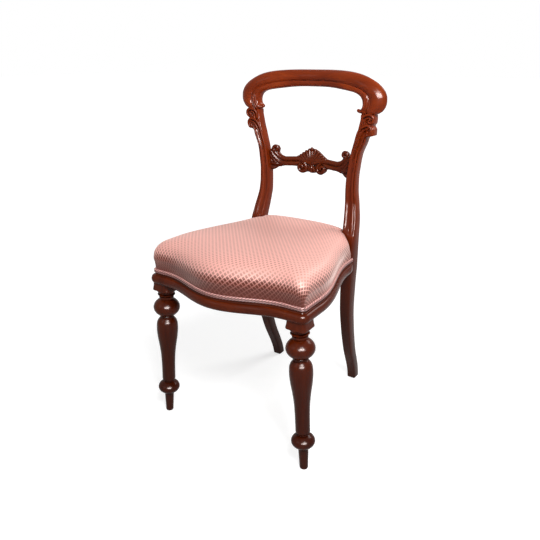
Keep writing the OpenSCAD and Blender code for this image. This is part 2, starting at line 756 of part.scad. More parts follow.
// Through the right front corner block into the side rail
module side_screw(gap) {
  translate([side_station(side_screw_y)[0] - rail_in - head_seat, side_screw_y, block_mid]) screw(gap);
}
// Through the right rear corner block into the side rail
module rear_side_screw(gap) {
  translate([side_station(rear_side_screw_y)[0] - rail_in - head_seat, rear_side_screw_y, block_mid])
    screw(gap);
}
// Through the right rear corner block into the back rail
module back_screw(gap) {
  translate([back_screw_x, back_rail_front - head_seat, block_mid]) rotate([0, 0, 90]) screw(gap);
}

block_steps = 6;
front_block_points = concat(
  [[block_inner - shoulder_gap, block_back + shoulder_gap]],
  [for (i = [0:block_steps])
    out(front_station(block_inner - shoulder_gap - front_block_reach * i / block_steps),
      -rail_in - shoulder_gap)],
  [for (i = [block_steps:-1:0])
    out(side_station(block_back + shoulder_gap + front_block_reach * i / block_steps),
      -rail_in - shoulder_gap)]);
rear_block_points = concat(
  [[leg_inner - shoulder_gap, leg_front - shoulder_gap]],
  [for (i = [0:block_steps])
    out(side_station(leg_front - shoulder_gap - rear_block_reach * i / block_steps),
      -rail_in - shoulder_gap)],
  [[leg_inner - rear_block_reach, back_rail_front - shoulder_gap],
    [leg_inner - shoulder_gap, back_rail_front - shoulder_gap]]);

module front_corner_block(side) {
  color(inner_wood_colour)
    on_side(side)
      difference() {
        translate([0, 0, block_low]) linear_extrude(corner_block_height) polygon(front_block_points);
        front_screw(fit_gap);
        side_screw(fit_gap);
      }
}

module rear_corner_block(side) {
  color(inner_wood_colour)
    on_side(side)
      difference() {
        translate([0, 0, block_low]) linear_extrude(corner_block_height) polygon(rear_block_points);
        rear_side_screw(fit_gap);
        back_screw(fit_gap);
      }
}

module corner_block_screws() {
  color(steel_colour)
    for (side = [-1, 1]) on_side(side) {
      front_screw(0);
      side_screw(0);
      rear_side_screw(0);
      back_screw(0);
    }
}

// Webbing

// Strips per direction, and their places
strips = 4;
function strip_offset(i, pitch) = (i - (strips - 1) / 2) * pitch;
long_x = [for (i = [0:strips - 1]) strip_offset(i, webbing_pitch_x)];
seat_middle_share = 0.48;
webbing_middle = mix(block_back, leg_front, seat_middle_share);
cross_y = [for (i = [0:strips - 1]) webbing_middle + strip_offset(i, webbing_pitch_y)];
long_front = [for (x = long_x) front_station(abs(x))[1] + rail_mid];
long_back = back_rail_mid;
cross_end = [for (y = cross_y) side_station(y)[0] - rail_mid];
// Space between two strips, one lying on the other
lap_gap = 0.05;
// Share of the space beside a crossing that the strip takes to climb
climb_share = 0.4;

// Height of a strip's underside beside a crossing, from the rails' top
lift = webbing_thickness + lap_gap;
// Line along a strip from one end to the other, over the crossings that it passes on top of
function strip_line(start, end, crossings, pitch) =
  let (
    half = webbing_width / 2 + lap_gap,
    climb = (pitch - webbing_width) * climb_share
  )
  concat([[start, 0]],
    [for (c = crossings)
      each [[c - half - climb, 0], [c - half, lift], [c + half, lift], [c + half + climb, 0]]],
    [[end, 0]]);
function strip_outline(line) = concat(
  [for (p = line) [p[0], rail_top + p[1]]],
  [for (i = [len(line) - 1:-1:0]) [line[i][0], rail_top + line[i][1] + webbing_thickness]]);
// A strip passes over every other strip that it crosses, and its neighbour over the rest
function over(places, first) = [for (i = [0:len(places) - 1]) if (i % 2 == first) places[i]];

module webbing_long(i) {
  color(webbing_colour)
    difference() {
      translate([long_x[i] - webbing_width / 2, 0, 0])
        rotate([90, 0, 90])
          linear_extrude(webbing_width)
            polygon(strip_outline(strip_line(long_front[i], long_back, over(cross_y, i % 2),
              webbing_pitch_y)));
      for (p = concat(front_tack_places, back_tack_places)) tack(p, fit_gap);
    }
}

module webbing_cross(i) {
  color(webbing_colour)
    difference() {
      translate([0, cross_y[i] + webbing_width / 2, 0])
        rotate([90, 0, 0])
          linear_extrude(webbing_width)
            polygon(strip_outline(strip_line(-cross_end[i], cross_end[i], over(long_x, (i + 1) % 2),
              webbing_pitch_x)));
      for (side = [-1, 1]) on_side(side) for (p = side_tack_places) tack(p, fit_gap);
    }
}

// Tacks stand in a row across each end of a strip
tack_row = [-1, 0, 1];
tack_spread_share = 0.32;
// Distance of the tacks from the end of a strip
tack_margin = 5;
tack_head_height = 0.6;
function row_places(x, y, dx, dy) = [for (k = tack_row) [x + k * dx, y + k * dy]];
tack_spread = webbing_width * tack_spread_share;
front_tack_places = [for (i = [0:strips - 1]) each row_places(long_x[i], long_front[i] + tack_margin,
  tack_spread, 0)];
back_tack_places = [for (i = [0:strips - 1]) each row_places(long_x[i], long_back - tack_margin,
  tack_spread, 0)];
side_tack_places = [for (i = [0:strips - 1]) each row_places(cross_end[i] - tack_margin, cross_y[i],
  0, tack_spread)];

module tack(p, gap) {
  translate([p[0], p[1], rail_top + webbing_thickness - tack_length - gap])
    cylinder(d = tack_d + 2 * gap, h = tack_length + 2 * gap, $fn = round_fn / 2);
}
module tack_with_head(p) {
  tack(p, 0);
  translate([p[0], p[1], rail_top + webbing_thickness])
    cylinder(d = tack_head_d, h = tack_head_height, $fn = round_fn / 2);
}

module webbing_tacks() {
  color(steel_colour) {
    for (p = concat(front_tack_places, back_tack_places)) tack_with_head(p);
    for (side = [-1, 1]) on_side(side) for (p = side_tack_places) tack_with_head(p);
  }
}

// Seat: the outline of the cover and of what lies inside it

seat_front_steps = 8;
seat_corner_steps = 3;
seat_side_steps = 9;
// The stations stand closer together where the seat's outline is rounder
crowding = 1.3;
function crowded(i, steps) = pow(i / steps, crowding);
// Clearance between the cover and the rear legs, and the edge of the skirt there, above the webbing
notch_gap = 0.6;
notch_floor = rail_top + webbing_thickness + tack_head_height + lap_gap;
notch_climb_share = 0.02;
skirt_bottom = ledge + cloth_gap;
back_face = back_rail_rear + cloth_gap + cover_thickness;

// Rings of the cover from its lower edge to the crown: height as a share of the rise from the lower
// edge to the crown's top, swell as a share of the side's swell beyond the skirt, rounding as a share
// of the way to the crown's corner radius, and size as a share of the full plan
seat_shares = [
  [0, 0, 0, 1],
  [0.18, 0.05, 0, 1],
  [0.3, 0.35, 0.1, 1],
  [0.44, 0.9, 0.25, 1],
  [0.58, 1, 0.5, 1],
  [0.71, 0.65, 0.75, 0.99],
  [0.82, 0, 1, 0.965],
  [0.9, -0.5, 1, 0.91],
  [0.955, -1, 1, 0.78],
  [0.985, -1, 1, 0.55],
  [1, -1, 1, 0.25]];
// Share of the rise from which the crown is rather flat than upright
crown_from_share = 0.6;
// The side's swell dies away over this share of the side rail, towards the rear leg
swell_end_share = 0.35;
skirt_out = -rebate_depth + cloth_gap + cover_thickness;
seat_rise = crown_top - skirt_bottom;
seat_centre = [0, mix(front_line, leg_front, seat_middle_share)];

// Height of the skirt's edge at the rear legs, where it is cut to clear the rails
function notch_z(z) = max(z, notch_floor + (z - skirt_bottom) * notch_climb_share);

// Stations of the right half of the seat, from the middle of the front to the rear leg
side_last = leg_front - notch_gap - corner_radius;
function seat_side(i) = side_station(mix(block_back, side_last, crowded(i, seat_side_steps)));
function seat_front(i) = front_station(block_inner * crowded(i, seat_front_steps));
// A corner station on a corner of another radius
function round_station(angle, r) = [
  side_line - r + r * sin(angle), front_line + r - r * cos(angle), sin(angle), -cos(angle)];

// Right half of a ring, from the middle of the front to the middle of the back. The inset moves it
// inward: 0 is the outside of the cover.
function seat_half_ring(row, inset) =
  let (
    z = skirt_bottom + seat_rise * row[0] - (row[0] > crown_from_share ? inset : 0),
    swell = (side_swell - skirt_out) * row[1],
    d = skirt_out - inset,
    r = mix(corner_radius, crown_corner_radius, row[2]),
    nx = rear_inner(z) - notch_gap - inset,
    ny = rear_front(z) - notch_gap - inset,
    by = back_face + side_swell * row[1] - inset,
    nz = notch_z(z)
  )
  concat(
    [for (i = [0:seat_front_steps]) out_at(seat_front(i), d + swell, z)],
    [for (i = [0:seat_corner_steps]) out_at(round_station(90 * i / seat_corner_steps, r), d + swell, z)],
    [for (i = [0:seat_side_steps])
      let (s = seat_side(i), near = min((side_last - s[1]) / side_run / swell_end_share, 1))
      out_at(s, d + swell * near, z)],
    [[rear_line + d, ny, nz], [nx, ny, nz], [nx, by, nz], [mix(nx, 0, back_corner_share), by, z],
      [0, by, z]]);
// The back corner of the skirt is cut over this share of half the back's width
back_corner_share = 0.03;
function seat_ring(row, inset) =
  let (half = seat_half_ring(row, inset), n = len(half))
  [for (p = concat(half, [for (i = [n - 2:-1:1]) [-half[i][0], half[i][1], half[i][2]]]))
    [seat_centre[0] + (p[0] - seat_centre[0]) * row[3], seat_centre[1] + (p[1] - seat_centre[1]) * row[3],
      p[2]]];

module seat_cover() {
  n = len(seat_shares);
  color(cover_colour)
    skin(concat(
      [for (i = [n - 1:-1:0]) seat_ring(seat_shares[i], cover_thickness)],
      [for (i = [0:n - 1]) seat_ring(seat_shares[i], 0)]));
}

// The hessian is stretched over the webbing
hessian_bottom = rail_top + lift + webbing_thickness + lap_gap;
hessian_top = hessian_bottom + hessian_thickness;
hessian_inset = tack_head_d;
module hessian() {
  color(hessian_colour)
    translate([0, 0, hessian_bottom])
      linear_extrude(hessian_thickness)
        polygon([for (p = seat_ring(seat_shares[0], hessian_inset)) [p[0], p[1]]]);
}

// The pad lies on the hessian and fills the cover from there up
pad_inset = cover_thickness + 2 * cloth_gap;
pad_first = 3;
pad_bottom = hessian_top + cloth_gap;
module seat_pad() {
  color(hair_colour)
    skin(concat(
      [for (p = [seat_ring(seat_shares[2], pad_inset)]) [for (q = p) [q[0], q[1], pad_bottom]]],
      [for (i = [pad_first:len(seat_shares) - 1]) seat_ring(seat_shares[i], pad_inset)]));
}

// Double piping: two cords over the cover's lower edge, along the front and the sides, and two
// straight ones across the back
piping_sides = 6;
piping_out = skirt_out + cloth_gap / 2 + piping_d / 2;
piping_levels = [for (i = [0, 1]) skirt_bottom + piping_d / 2 + i * (piping_d + lap_gap)];
piping_half = concat(
  [for (i = [1:seat_front_steps]) seat_front(i)],
  [for (i = [0:seat_corner_steps]) corner_station(90 * i / seat_corner_steps)],
  [for (i = [0:seat_side_steps]) seat_side(i)],
  [side_station(leg_front - lap_gap)]);
piping_line = concat(
  [for (i = [len(piping_half) - 1:-1:0]) let (s = piping_half[i]) [-s[0], s[1], -s[2], s[3]]],
  [seat_front(0)], piping_half);

module seat_piping() {
  color(piping_colour) {
    for (z = piping_levels) {
      skin([for (s = piping_line)
        [for (k = [0:piping_sides - 1]) let (a = 360 * (k + 0.5) / piping_sides)
          out_at(s, piping_out - piping_d / 2 * cos(a), z + piping_d / 2 * sin(a))]]);
      translate([-leg_inner + lap_gap, back_face + cloth_gap / 2 + piping_d / 2, z])
        rotate([0, 90, 0]) cylinder(d = piping_d, h = 2 * (leg_inner - lap_gap), $fn = round_fn / 2);
    }
  }
}

front_leg(-1);  // front_leg_left
front_leg(1);  // front_leg_right
rear_leg(-1);  // rear_leg_left
rear_leg(1);  // rear_leg_right
crest_rail();
cross_rail();
front_rail();
side_rail(-1);  // side_rail_left
side_rail(1);  // side_rail_right
back_rail();
front_corner_block(-1);  // front_corner_block_left
front_corner_block(1);  // front_corner_block_right
rear_corner_block(-1);  // rear_corner_block_left
rear_corner_block(1);  // rear_corner_block_right
corner_block_screws();
crest_dowels();
cross_rail_dowels();
webbing_long(0);  // webbing_long_1
webbing_long(1);  // webbing_long_2
webbing_long(2);  // webbing_long_3
webbing_long(3);  // webbing_long_4
webbing_cross(0);  // webbing_cross_1
webbing_cross(1);  // webbing_cross_2
webbing_cross(2);  // webbing_cross_3
webbing_cross(3);  // webbing_cross_4
webbing_tacks();
hessian();
seat_pad();
seat_cover();
seat_piping();
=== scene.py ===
"""Looks of the balloon back chair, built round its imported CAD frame.

Lengths are in millimetres in the chair's own frame until a mesh is made from them.
"""
import math

import bpy
import numpy as np
import openvdb
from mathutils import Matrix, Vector
from mathutils.bvhtree import BVHTree


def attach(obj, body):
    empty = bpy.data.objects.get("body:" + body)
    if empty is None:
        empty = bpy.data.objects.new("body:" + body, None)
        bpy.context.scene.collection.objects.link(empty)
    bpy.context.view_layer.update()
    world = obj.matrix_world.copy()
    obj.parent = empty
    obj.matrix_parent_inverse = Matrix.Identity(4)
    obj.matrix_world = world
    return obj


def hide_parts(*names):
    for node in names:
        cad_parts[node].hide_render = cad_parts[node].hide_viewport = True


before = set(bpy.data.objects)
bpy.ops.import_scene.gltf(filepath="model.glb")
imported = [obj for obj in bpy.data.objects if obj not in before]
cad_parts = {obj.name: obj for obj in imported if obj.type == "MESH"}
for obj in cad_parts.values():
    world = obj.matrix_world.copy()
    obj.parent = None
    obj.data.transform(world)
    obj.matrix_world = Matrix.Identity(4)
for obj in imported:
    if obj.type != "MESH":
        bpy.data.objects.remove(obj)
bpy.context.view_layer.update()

MM = 0.001

# ---------------------------------------------------------------- sizes of the chair
HEIGHT = 873
SIDE_LINE, REAR_LINE = 214, 163
FRONT_LINE, FRONT_BOW = -207, 42
LEG_FRONT, LEG_DEPTH = 130, 39
LEG_MID = LEG_FRONT + LEG_DEPTH / 2
BACK_PLANE = LEG_MID + 23
FOOT_MID = 245
RAIL_BOTTOM, RAIL_TOP = 381, 433
MOULDING_HEIGHT, MOULDING_OUT = 22, 9
HOLLOW_HEIGHT, REBATE = 5, 5
RAIL_THICK = 22
RAIL_IN = REBATE + RAIL_THICK
MOULDING_TOP = RAIL_BOTTOM + MOULDING_HEIGHT
LEDGE = MOULDING_TOP + HOLLOW_HEIGHT
MOULDING_STOP = 24
CORNER_R = 10
BLOCK, BLOCK_FLARE, BLOCK_DROP, BLOCK_PROUD = 47, 51, 22, 3
BLOCK_OUT = SIDE_LINE + BLOCK_PROUD
BLOCK_IN = BLOCK_OUT - BLOCK
BLOCK_X = BLOCK_OUT - BLOCK / 2
BLOCK_Y = FRONT_LINE - BLOCK_PROUD + BLOCK / 2
BLOCK_BACK = BLOCK_Y + BLOCK / 2
BLOCK_LOW = RAIL_BOTTOM - BLOCK_DROP
LEG_OUT, LEG_IN = 161, 131
FOOT_X, FOOT_W, FOOT_D = 132.5, 25, 26
HEAD_LEVEL, HEAD_HALF, HEAD_W = 772, 184, 36
WAIST_HALF, WAIST_W = 144.5, 28
UPRIGHT_D = 28
CREST_HALF, CREST_RISE, CREST_BAR = 208.5, 101, 41.5
CREST_D, SHOULDER_D = 30, 36
BACK_BOW = 28
BOW_HALF = HEAD_HALF * 0.92
CROWN_TOP = 496
SWELL = 3
CROWN_R = 30
COVER_T, CLOTH_GAP = 1.2, 0.4
PIPING_D = 4.8
BACK_RAIL_REAR = LEG_FRONT + LEG_DEPTH - PIPING_D - COVER_T - 2 * CLOTH_GAP
BACK_FACE = BACK_RAIL_REAR + CLOTH_GAP + COVER_T
SKIRT_BOTTOM = LEDGE + CLOTH_GAP
SKIRT_OUT = -REBATE + CLOTH_GAP + COVER_T
WEB_T = 1.2
NOTCH_FLOOR = RAIL_TOP + WEB_T + 0.6 + 0.05
SEAT_CENTRE = np.array([0, FRONT_LINE + (LEG_FRONT - FRONT_LINE) * 0.48])


# ---------------------------------------------------------------- small maths
def mix(a, b, share):
    return a + (b - a) * share


def curve(table, x, column):
    """The column's value at key x, on a smooth curve through the rows that doesn't overshoot."""
    rows = np.array(table, float)
    keys, values = rows[:, 0], rows[:, column]
    rise = np.diff(values) / np.diff(keys)
    slope = np.zeros(len(keys))
    both = rise[:-1] + rise[1:]
    product = rise[:-1] * rise[1:]
    slope[1:-1] = np.where(product > 0, 2 * product / np.where(both == 0, 1, both), 0)
    x = np.clip(x, keys[0], keys[-1])
    i = np.clip(np.searchsorted(keys, x, side="right") - 1, 0, len(keys) - 2)
    span = keys[i + 1] - keys[i]
    t = (x - keys[i]) / span
    m0, m1 = slope[i] * span, slope[i + 1] * span
    d = values[i + 1] - values[i]
    return values[i] + m0 * t + (3 * d - 2 * m0 - m1) * t**2 + (m0 + m1 - 2 * d) * t**3


def spline(points, steps):
    """Points on a smooth line through the given ones, with steps spans between each two."""
    p = np.array(points, float)
    p = np.vstack([2 * p[0] - p[1], p, 2 * p[-1] - p[-2]])
    t = np.arange(steps)[:, None] / steps
    out = []
    for i in range(1, len(p) - 2):
        a, b, c, d = p[i - 1], p[i], p[i + 1], p[i + 2]
        out.append(0.5 * (2 * b + (c - a) * t + (2 * a - 5 * b + 4 * c - d) * t**2
                          + (3 * b - 3 * c + d - a) * t**3))
    return np.vstack(out + [p[-2]])


def smooth_step(x, low, high):
    t = np.clip((x - low) / (high - low), 0, 1)
    return t * t * (3 - 2 * t)


def unit(v):
    return v / np.maximum(np.linalg.norm(v, axis=-1, keepdims=True), 1e-9)


def rounded(values, rounds, axis=0):
    """Values smoothed along a closed loop."""
    for _ in range(rounds):
        values = (np.roll(values, 1, axis) + 2 * values + np.roll(values, -1, axis)) / 4
    return values


def evened(values, rounds):
    """Values smoothed along an open line, whose ends stay."""
    values = values.copy()
    for _ in range(rounds):
        values[1:-1] = (values[:-2] + 2 * values[1:-1] + values[2:]) / 4
    return values


# ---------------------------------------------------------------- meshes
def grid_faces(rows, columns):
    """Quads between closed rings of points."""
    r = np.arange(rows - 1)[:, None] * columns
    c = np.arange(columns)[None, :]
    n = (c + 1) % columns
    return np.stack([r + c, r + n, r + n + columns, r + c + columns], -1).reshape(-1, 4).tolist()


def fanned(rows, columns):
    """Quads between closed rings, and a fan from the last ring to one more point."""
    last = rows * columns
    fan = [[last - columns + i, last - columns + (i + 1) % columns, last] for i in range(columns)]
    return grid_faces(rows, columns) + fan


def placed(name, data):
    """A new object in the scene."""
    thing = bpy.data.objects.new(name, data)
    bpy.context.scene.collection.objects.link(thing)
    return thing


def new_piece(name, points, faces, sharp=40):
    """A mesh object from points in millimetres. Edges bent more than the sharp angle stay crisp."""
    mesh = bpy.data.meshes.new(name)
    mesh.from_pydata((np.asarray(points, float) * MM).tolist(), [], [list(map(int, f)) for f in faces])
    mesh.validate()
    mesh.update()
    piece = placed(name, mesh)
    mesh.shade_smooth()
    if sharp:
        mesh.set_sharp_from_angle(angle=math.radians(sharp))
    return piece


def swept(rings):
    """Points and faces of a closed solid between rings, with flat ends."""
    rows, columns = rings.shape[:2]
    ends = [list(range(columns))[::-1], list(range((rows - 1) * columns, rows * columns))]
    return rings.reshape(-1, 3), grid_faces(rows, columns) + ends


def joined(parts):
    """Points and faces of several solids together."""
    points, faces, start = [], [], 0
    for p, f in parts:
        points.append(p)
        faces += [[i + start for i in face] for face in f]
        start += len(p)
    return np.vstack(points), faces


def mirrored(part):
    """A solid's mirror image in x."""
    points, faces = part
    return points * [-1, 1, 1], [list(face)[::-1] for face in faces]


def facing_out(part):
    """The same solid with its faces turned outward."""
    points, faces = part
    volume = 0.0
    for size in {len(f) for f in faces}:
        corners = points[np.array([f for f in faces if len(f) == size])]
        for i in range(1, size - 1):
            volume += np.einsum("ij,ij->", corners[:, 0], np.cross(corners[:, i], corners[:, i + 1]))
    return part if volume > 0 else (points, [f[::-1] for f in faces])


def per_vertex(mesh, name):
    """A vector of each vertex."""
    values = np.empty(len(mesh.vertices) * 3)
    mesh.vertices.foreach_get(name, values)
    return values.reshape(-1, 3)


def points_of(piece):
    return per_vertex(piece.data, "co") / MM


def put_attribute(piece, name, values):
    """Stores a number or a vector per vertex."""
    values = np.asarray(values, float)
    kind = "FLOAT" if values.ndim == 1 else "FLOAT_VECTOR"
    key = "value" if values.ndim == 1 else "vector"
    attribute = piece.data.attributes.new(name, kind, "POINT")
    attribute.data.foreach_set(key, values.ravel())


# How far from a crease or an edge its mark spreads
HOLLOW_REACH = 3.0


def put_hollow(piece):
    """Stores how hollow the surface is: above 0 in creases and below 0 on edges, per millimetre."""
    mesh = piece.data
    p, n = points_of(piece), per_vertex(mesh, "normal")
    e = np.empty(len(mesh.edges) * 2, int)
    mesh.edges.foreach_get("vertices", e)
    a, b = e.reshape(-1, 2).T
    d = p[b] - p[a]
    length = np.maximum(np.einsum("ij,ij->i", d, d), 0.01)
    total, count = np.zeros(len(p)), np.zeros(len(p))
    for i, sign in ((a, 1), (b, -1)):
        np.add.at(total, i, sign * np.einsum("ij,ij->i", d, n[i]) / length)
        np.add.at(count, i, 1)
    value = total / np.maximum(count, 1)
    steps = int(np.clip(HOLLOW_REACH / np.sqrt(np.median(length)), 1, 12))
    for _ in range(steps):
        around = np.zeros(len(p))
        np.add.at(around, a, value[b])
        np.add.at(around, b, value[a])
        value = (value + around / np.maximum(count, 1)) / 2
    put_attribute(piece, "hollow", value)


# How much the grain is squeezed along a piece, and how far apart the pieces' grains lie
STRETCH, APART = 0.07, 0.37
ACROSS = {"x": (1, 2, 0), "y": (0, 2, 1), "z": (0, 1, 2)}


# Painted shade by height: how dark the wood is painted at each height, beside the crest. It is darker towards
# the floor, where less light reaches, and a little lighter at the crest as painted light
PAINTED_SHADE_BY_HEIGHT = [[0, 0.24], [160, 0.25], [300, 0.38], [360, 0.42], [381, 0.42], [433, 0.46], [480, 0.7], [560, 0.82],
        [700, 0.95], [780, 1.1], [900, 1.1]]
# Painted shade on the rear legs, which stand in shade: what is left of the colour there, which begins over
# this range in y and ends over this one in height
REAR_LEG_PAINTED_SHADE, REAR_Y, REAR_Z = 0.85, (60, 120), (375, 440)


def wooden(piece, along, offset, shade_and_tone=1.0):
    """Gives a wooden piece its painted shade by height, times its own tone, and its grain coordinates, in
    metres, squeezed along the grain.
    """
    p = points_of(piece) * MM
    rear = smooth_step(p[:, 1] / MM, *REAR_Y) * (1 - smooth_step(p[:, 2] / MM, *REAR_Z))
    put_attribute(piece, "shade_and_tone", curve(PAINTED_SHADE_BY_HEIGHT, p[:, 2] / MM, 1) * shade_and_tone * mix(1, REAR_LEG_PAINTED_SHADE, rear))
    put_attribute(piece, "grain", p[:, ACROSS[along]] * [1, 1, STRETCH] + np.array(offset) * APART)
    put_hollow(piece)
    return piece


# ---------------------------------------------------------------- carving with distance fields
# The farthest distance kept, the usual voxel, and how softly rods and plates melt into the wood, in mm
FAR, VOXEL = 4.0, 0.6
ROD_BLEND, PLATE_BLEND = 0.7, 1.0


def field_over(low, high, voxel=VOXEL):
    """An empty distance field over a box: its corner, its voxel and its values."""
    low, high = np.array(low, float), np.array(high, float)
    shape = np.ceil((high - low) / voxel).astype(int) + 1
    return [low, voxel, np.full(shape, FAR)]


def window(field, low, high):
    """The part of a field inside a box, and the coordinates of its voxels."""
    corner, voxel, values = field
    a = np.clip(np.floor((np.array(low) - corner) / voxel).astype(int), 0, values.shape)
    b = np.clip(np.ceil((np.array(high) - corner) / voxel).astype(int) + 1, 0, values.shape)
    axes = [corner[k] + voxel * np.arange(a[k], b[k]) for k in range(3)]
    return tuple(slice(a[k], b[k]) for k in range(3)), np.meshgrid(*axes, indexing="ij", sparse=True)


def blend_in(values, added, blend):
    h = np.maximum(blend - np.abs(values - added), 0) / blend
    return np.minimum(values, added) - h * h * blend / 4


def add_tube(field, line, blend=ROD_BLEND):
    """Adds a round rod along points x, y, z, radius."""
    line = np.asarray(line, float)
    reach = line[:, 3].max() + FAR
    where, _ = window(field, line[:, :3].min(0) - reach, line[:, :3].max(0) + reach)
    rod = np.full(field[2].shape, FAR)
    for a, b in zip(line[:-1], line[1:]):
        reach = max(a[3], b[3]) + FAR
        part, (x, y, z) = window(field, np.minimum(a, b)[:3] - reach, np.maximum(a, b)[:3] + reach)
        if 0 in rod[part].shape:
            continue
        d = b[:3] - a[:3]
        t = ((x - a[0]) * d[0] + (y - a[1]) * d[1] + (z - a[2]) * d[2]) / max(d @ d, 1e-9)
        t = np.clip(t, 0, 1)
        away = np.sqrt((x - a[0] - t * d[0])**2 + (y - a[1] - t * d[1])**2 + (z - a[2] - t * d[2])**2)
        rod[part] = np.minimum(rod[part], away - mix(a[3], b[3], t))
    field[2][where] = blend_in(field[2][where], rod[where], blend)


def add_plate(field, outline, y_low, y_high, rounding):
    """Adds a plate with rounded edges: an outline in x and z, between two depths."""
    corner, voxel, values = field
    x = corner[0] + voxel * np.arange(values.shape[0])[:, None]
    z = corner[2] + voxel * np.arange(values.shape[2])[None, :]
    away = np.full((values.shape[0], values.shape[2]), 1e9)
    inside = np.zeros(away.shape, bool)
    p = np.array(outline, float)
    for a, b in zip(p, np.roll(p, -1, 0)):
        d = b - a
        t = np.clip(((x - a[0]) * d[0] + (z - a[1]) * d[1]) / (d @ d), 0, 1)
        away = np.minimum(away, (x - a[0] - t * d[0])**2 + (z - a[1] - t * d[1])**2)
        crosses = (a[1] > z) != (b[1] > z)
        at = a[0] + (z - a[1]) * d[0] / (d[1] if abs(d[1]) > 1e-9 else 1e-9)
        inside ^= crosses & (x < at)
    flat = np.where(inside, -np.sqrt(away), np.sqrt(away))[:, None, :] + rounding
    y = corner[1] + voxel * np.arange(values.shape[1])[None, :, None]
    deep = np.abs(y - (y_low + y_high) / 2) - (y_high - y_low) / 2 + rounding
    plate = np.sqrt(np.maximum(flat, 0)**2 + np.maximum(deep, 0)**2) + np.minimum(
        np.maximum(flat, deep), 0) - rounding
    field[2][:] = blend_in(values, np.minimum(plate, FAR), PLATE_BLEND)


def cut_ball(field, centre, radius):
    part, (x, y, z) = window(field, np.array(centre) - radius - FAR, np.array(centre) + radius + FAR)
    away = np.sqrt((x - centre[0])**2 + (y - centre[1])**2 + (z - centre[2])**2)
    field[2][part] = np.maximum(field[2][part], radius - away)


def surface(field, rounds=3):
    """Points and faces of the surface where a field is zero, smoothed a little."""
    corner, voxel, values = field
    grid = openvdb.FloatGrid(FAR)
    grid.copyFromArray(values.astype(np.float32))
    points, quads = grid.convertToQuads(0.0)
    a, b = np.asarray(quads).ravel(), np.roll(quads, -1, axis=1).ravel()
    count = np.bincount(a, minlength=len(points)) + np.bincount(b, minlength=len(points))
    for _ in range(rounds):
        around = np.stack([np.bincount(a, points[b, k], len(points))
                           + np.bincount(b, points[a, k], len(points)) for k in range(3)], -1)
        points = (points + around / np.maximum(count, 1)[:, None]) / 2
    return points * voxel + corner, quads.tolist()


# ---------------------------------------------------------------- lines of the seat and the back
def station(x, y, dx, dy):
    """Places on the piping line with the outward direction: x, y, out x, out y."""
    x, y, dx, dy = np.broadcast_arrays(x, y, dx, dy)
    return np.concatenate([np.stack([x, y], -1), unit(np.stack([dx, dy], -1))], -1)


def front_station(x):
    a = np.pi * x / BLOCK_IN
    lean = FRONT_BOW * np.pi / (2 * BLOCK_IN) * np.sin(a)
    return station(x, FRONT_LINE - FRONT_BOW * (1 + np.cos(a)) / 2, lean, -1.0)


SIDE_RUN = LEG_FRONT - BLOCK_BACK
CURVE_START = BLOCK_BACK + SIDE_RUN * 0.09
CURVE_LENGTH = SIDE_RUN * 0.85


def side_station(y):
    a = np.pi * np.clip((y - CURVE_START) / CURVE_LENGTH, 0, 1)
    draw = SIDE_LINE - REAR_LINE
    lean = draw * np.pi / (2 * CURVE_LENGTH) * np.sin(a)
    return station(SIDE_LINE - draw * (1 - np.cos(a)) / 2, y, 1.0, lean)


def corner_station(share, r):
    a = np.pi / 2 * share
    return station(SIDE_LINE - r + r * np.sin(a), FRONT_LINE + r - r * np.cos(a), np.sin(a), -np.cos(a))


def corner_run(share, r):
    """Places from the front rail's end round the corner to the side rail's start."""
    reach = SIDE_LINE - BLOCK_IN
    straight = reach - r
    length = 2 * straight + np.pi / 2 * r
    d = share * length
    turned = np.clip((d - straight) / r, 0, np.pi / 2)
    after = np.maximum(d - length + straight, 0)
    return station(BLOCK_IN + np.minimum(d, straight) + r * np.sin(turned),
                   FRONT_LINE + r * (1 - np.cos(turned)) + after, np.sin(turned), -np.cos(turned))


def out_at(s, distance, z):
    """Points at a distance outward from stations."""
    x = s[..., 0] + s[..., 2] * distance
    y = s[..., 1] + s[..., 3] * distance
    return np.stack(np.broadcast_arrays(x, y, z), -1)


def back_mid(x):
    return BACK_PLANE + BACK_BOW * (1 + np.cos(np.pi * np.minimum(np.abs(x) / BOW_HALF, 1))) / 2


# ---------------------------------------------------------------- seat rails
def rail_section():
    """Distances outward from the piping line and heights: a half round moulding under a hollow."""
    steps = 18
    a = np.pi * np.arange(1, steps) / steps
    bead = np.stack([MOULDING_OUT * np.sin(a)**0.9, RAIL_BOTTOM + MOULDING_HEIGHT * (1 - np.cos(a)) / 2], -1)
    b = np.pi / 2 * np.linspace(0, 1, 6)
    hollow = np.stack([-2 * np.sin(b), MOULDING_TOP + HOLLOW_HEIGHT * (1 - np.cos(b))], -1)
    return np.vstack([
        [[-RAIL_IN, RAIL_BOTTOM + 1], [-RAIL_IN + 1, RAIL_BOTTOM], [-1, RAIL_BOTTOM], [0, RAIL_BOTTOM + 0.6]],
        bead, hollow, [[-REBATE, LEDGE], [-REBATE, RAIL_TOP - 1], [-REBATE - 1, RAIL_TOP],
                       [-RAIL_IN + 1, RAIL_TOP], [-RAIL_IN, RAIL_TOP - 1]]])


def front_rail():
    s = front_station(np.linspace(BLOCK_IN, -BLOCK_IN, 181))
    p = rail_section()
    rings = out_at(s[:, None], p[None, :, 0], p[None, :, 1])
    return facing_out(swept(rings))


def side_rail():
    y = np.linspace(BLOCK_BACK, LEG_FRONT, 161)
    s = side_station(y)
    p = rail_section()
    stop = np.sqrt(np.clip((LEG_FRONT - y) / MOULDING_STOP, 0, 1))
    distance = np.where(p[None, :, 0] > 0, p[None, :, 0] * stop[:, None], p[None, :, 0])
    return facing_out(swept(out_at(s[:, None], distance, p[None, :, 1])))


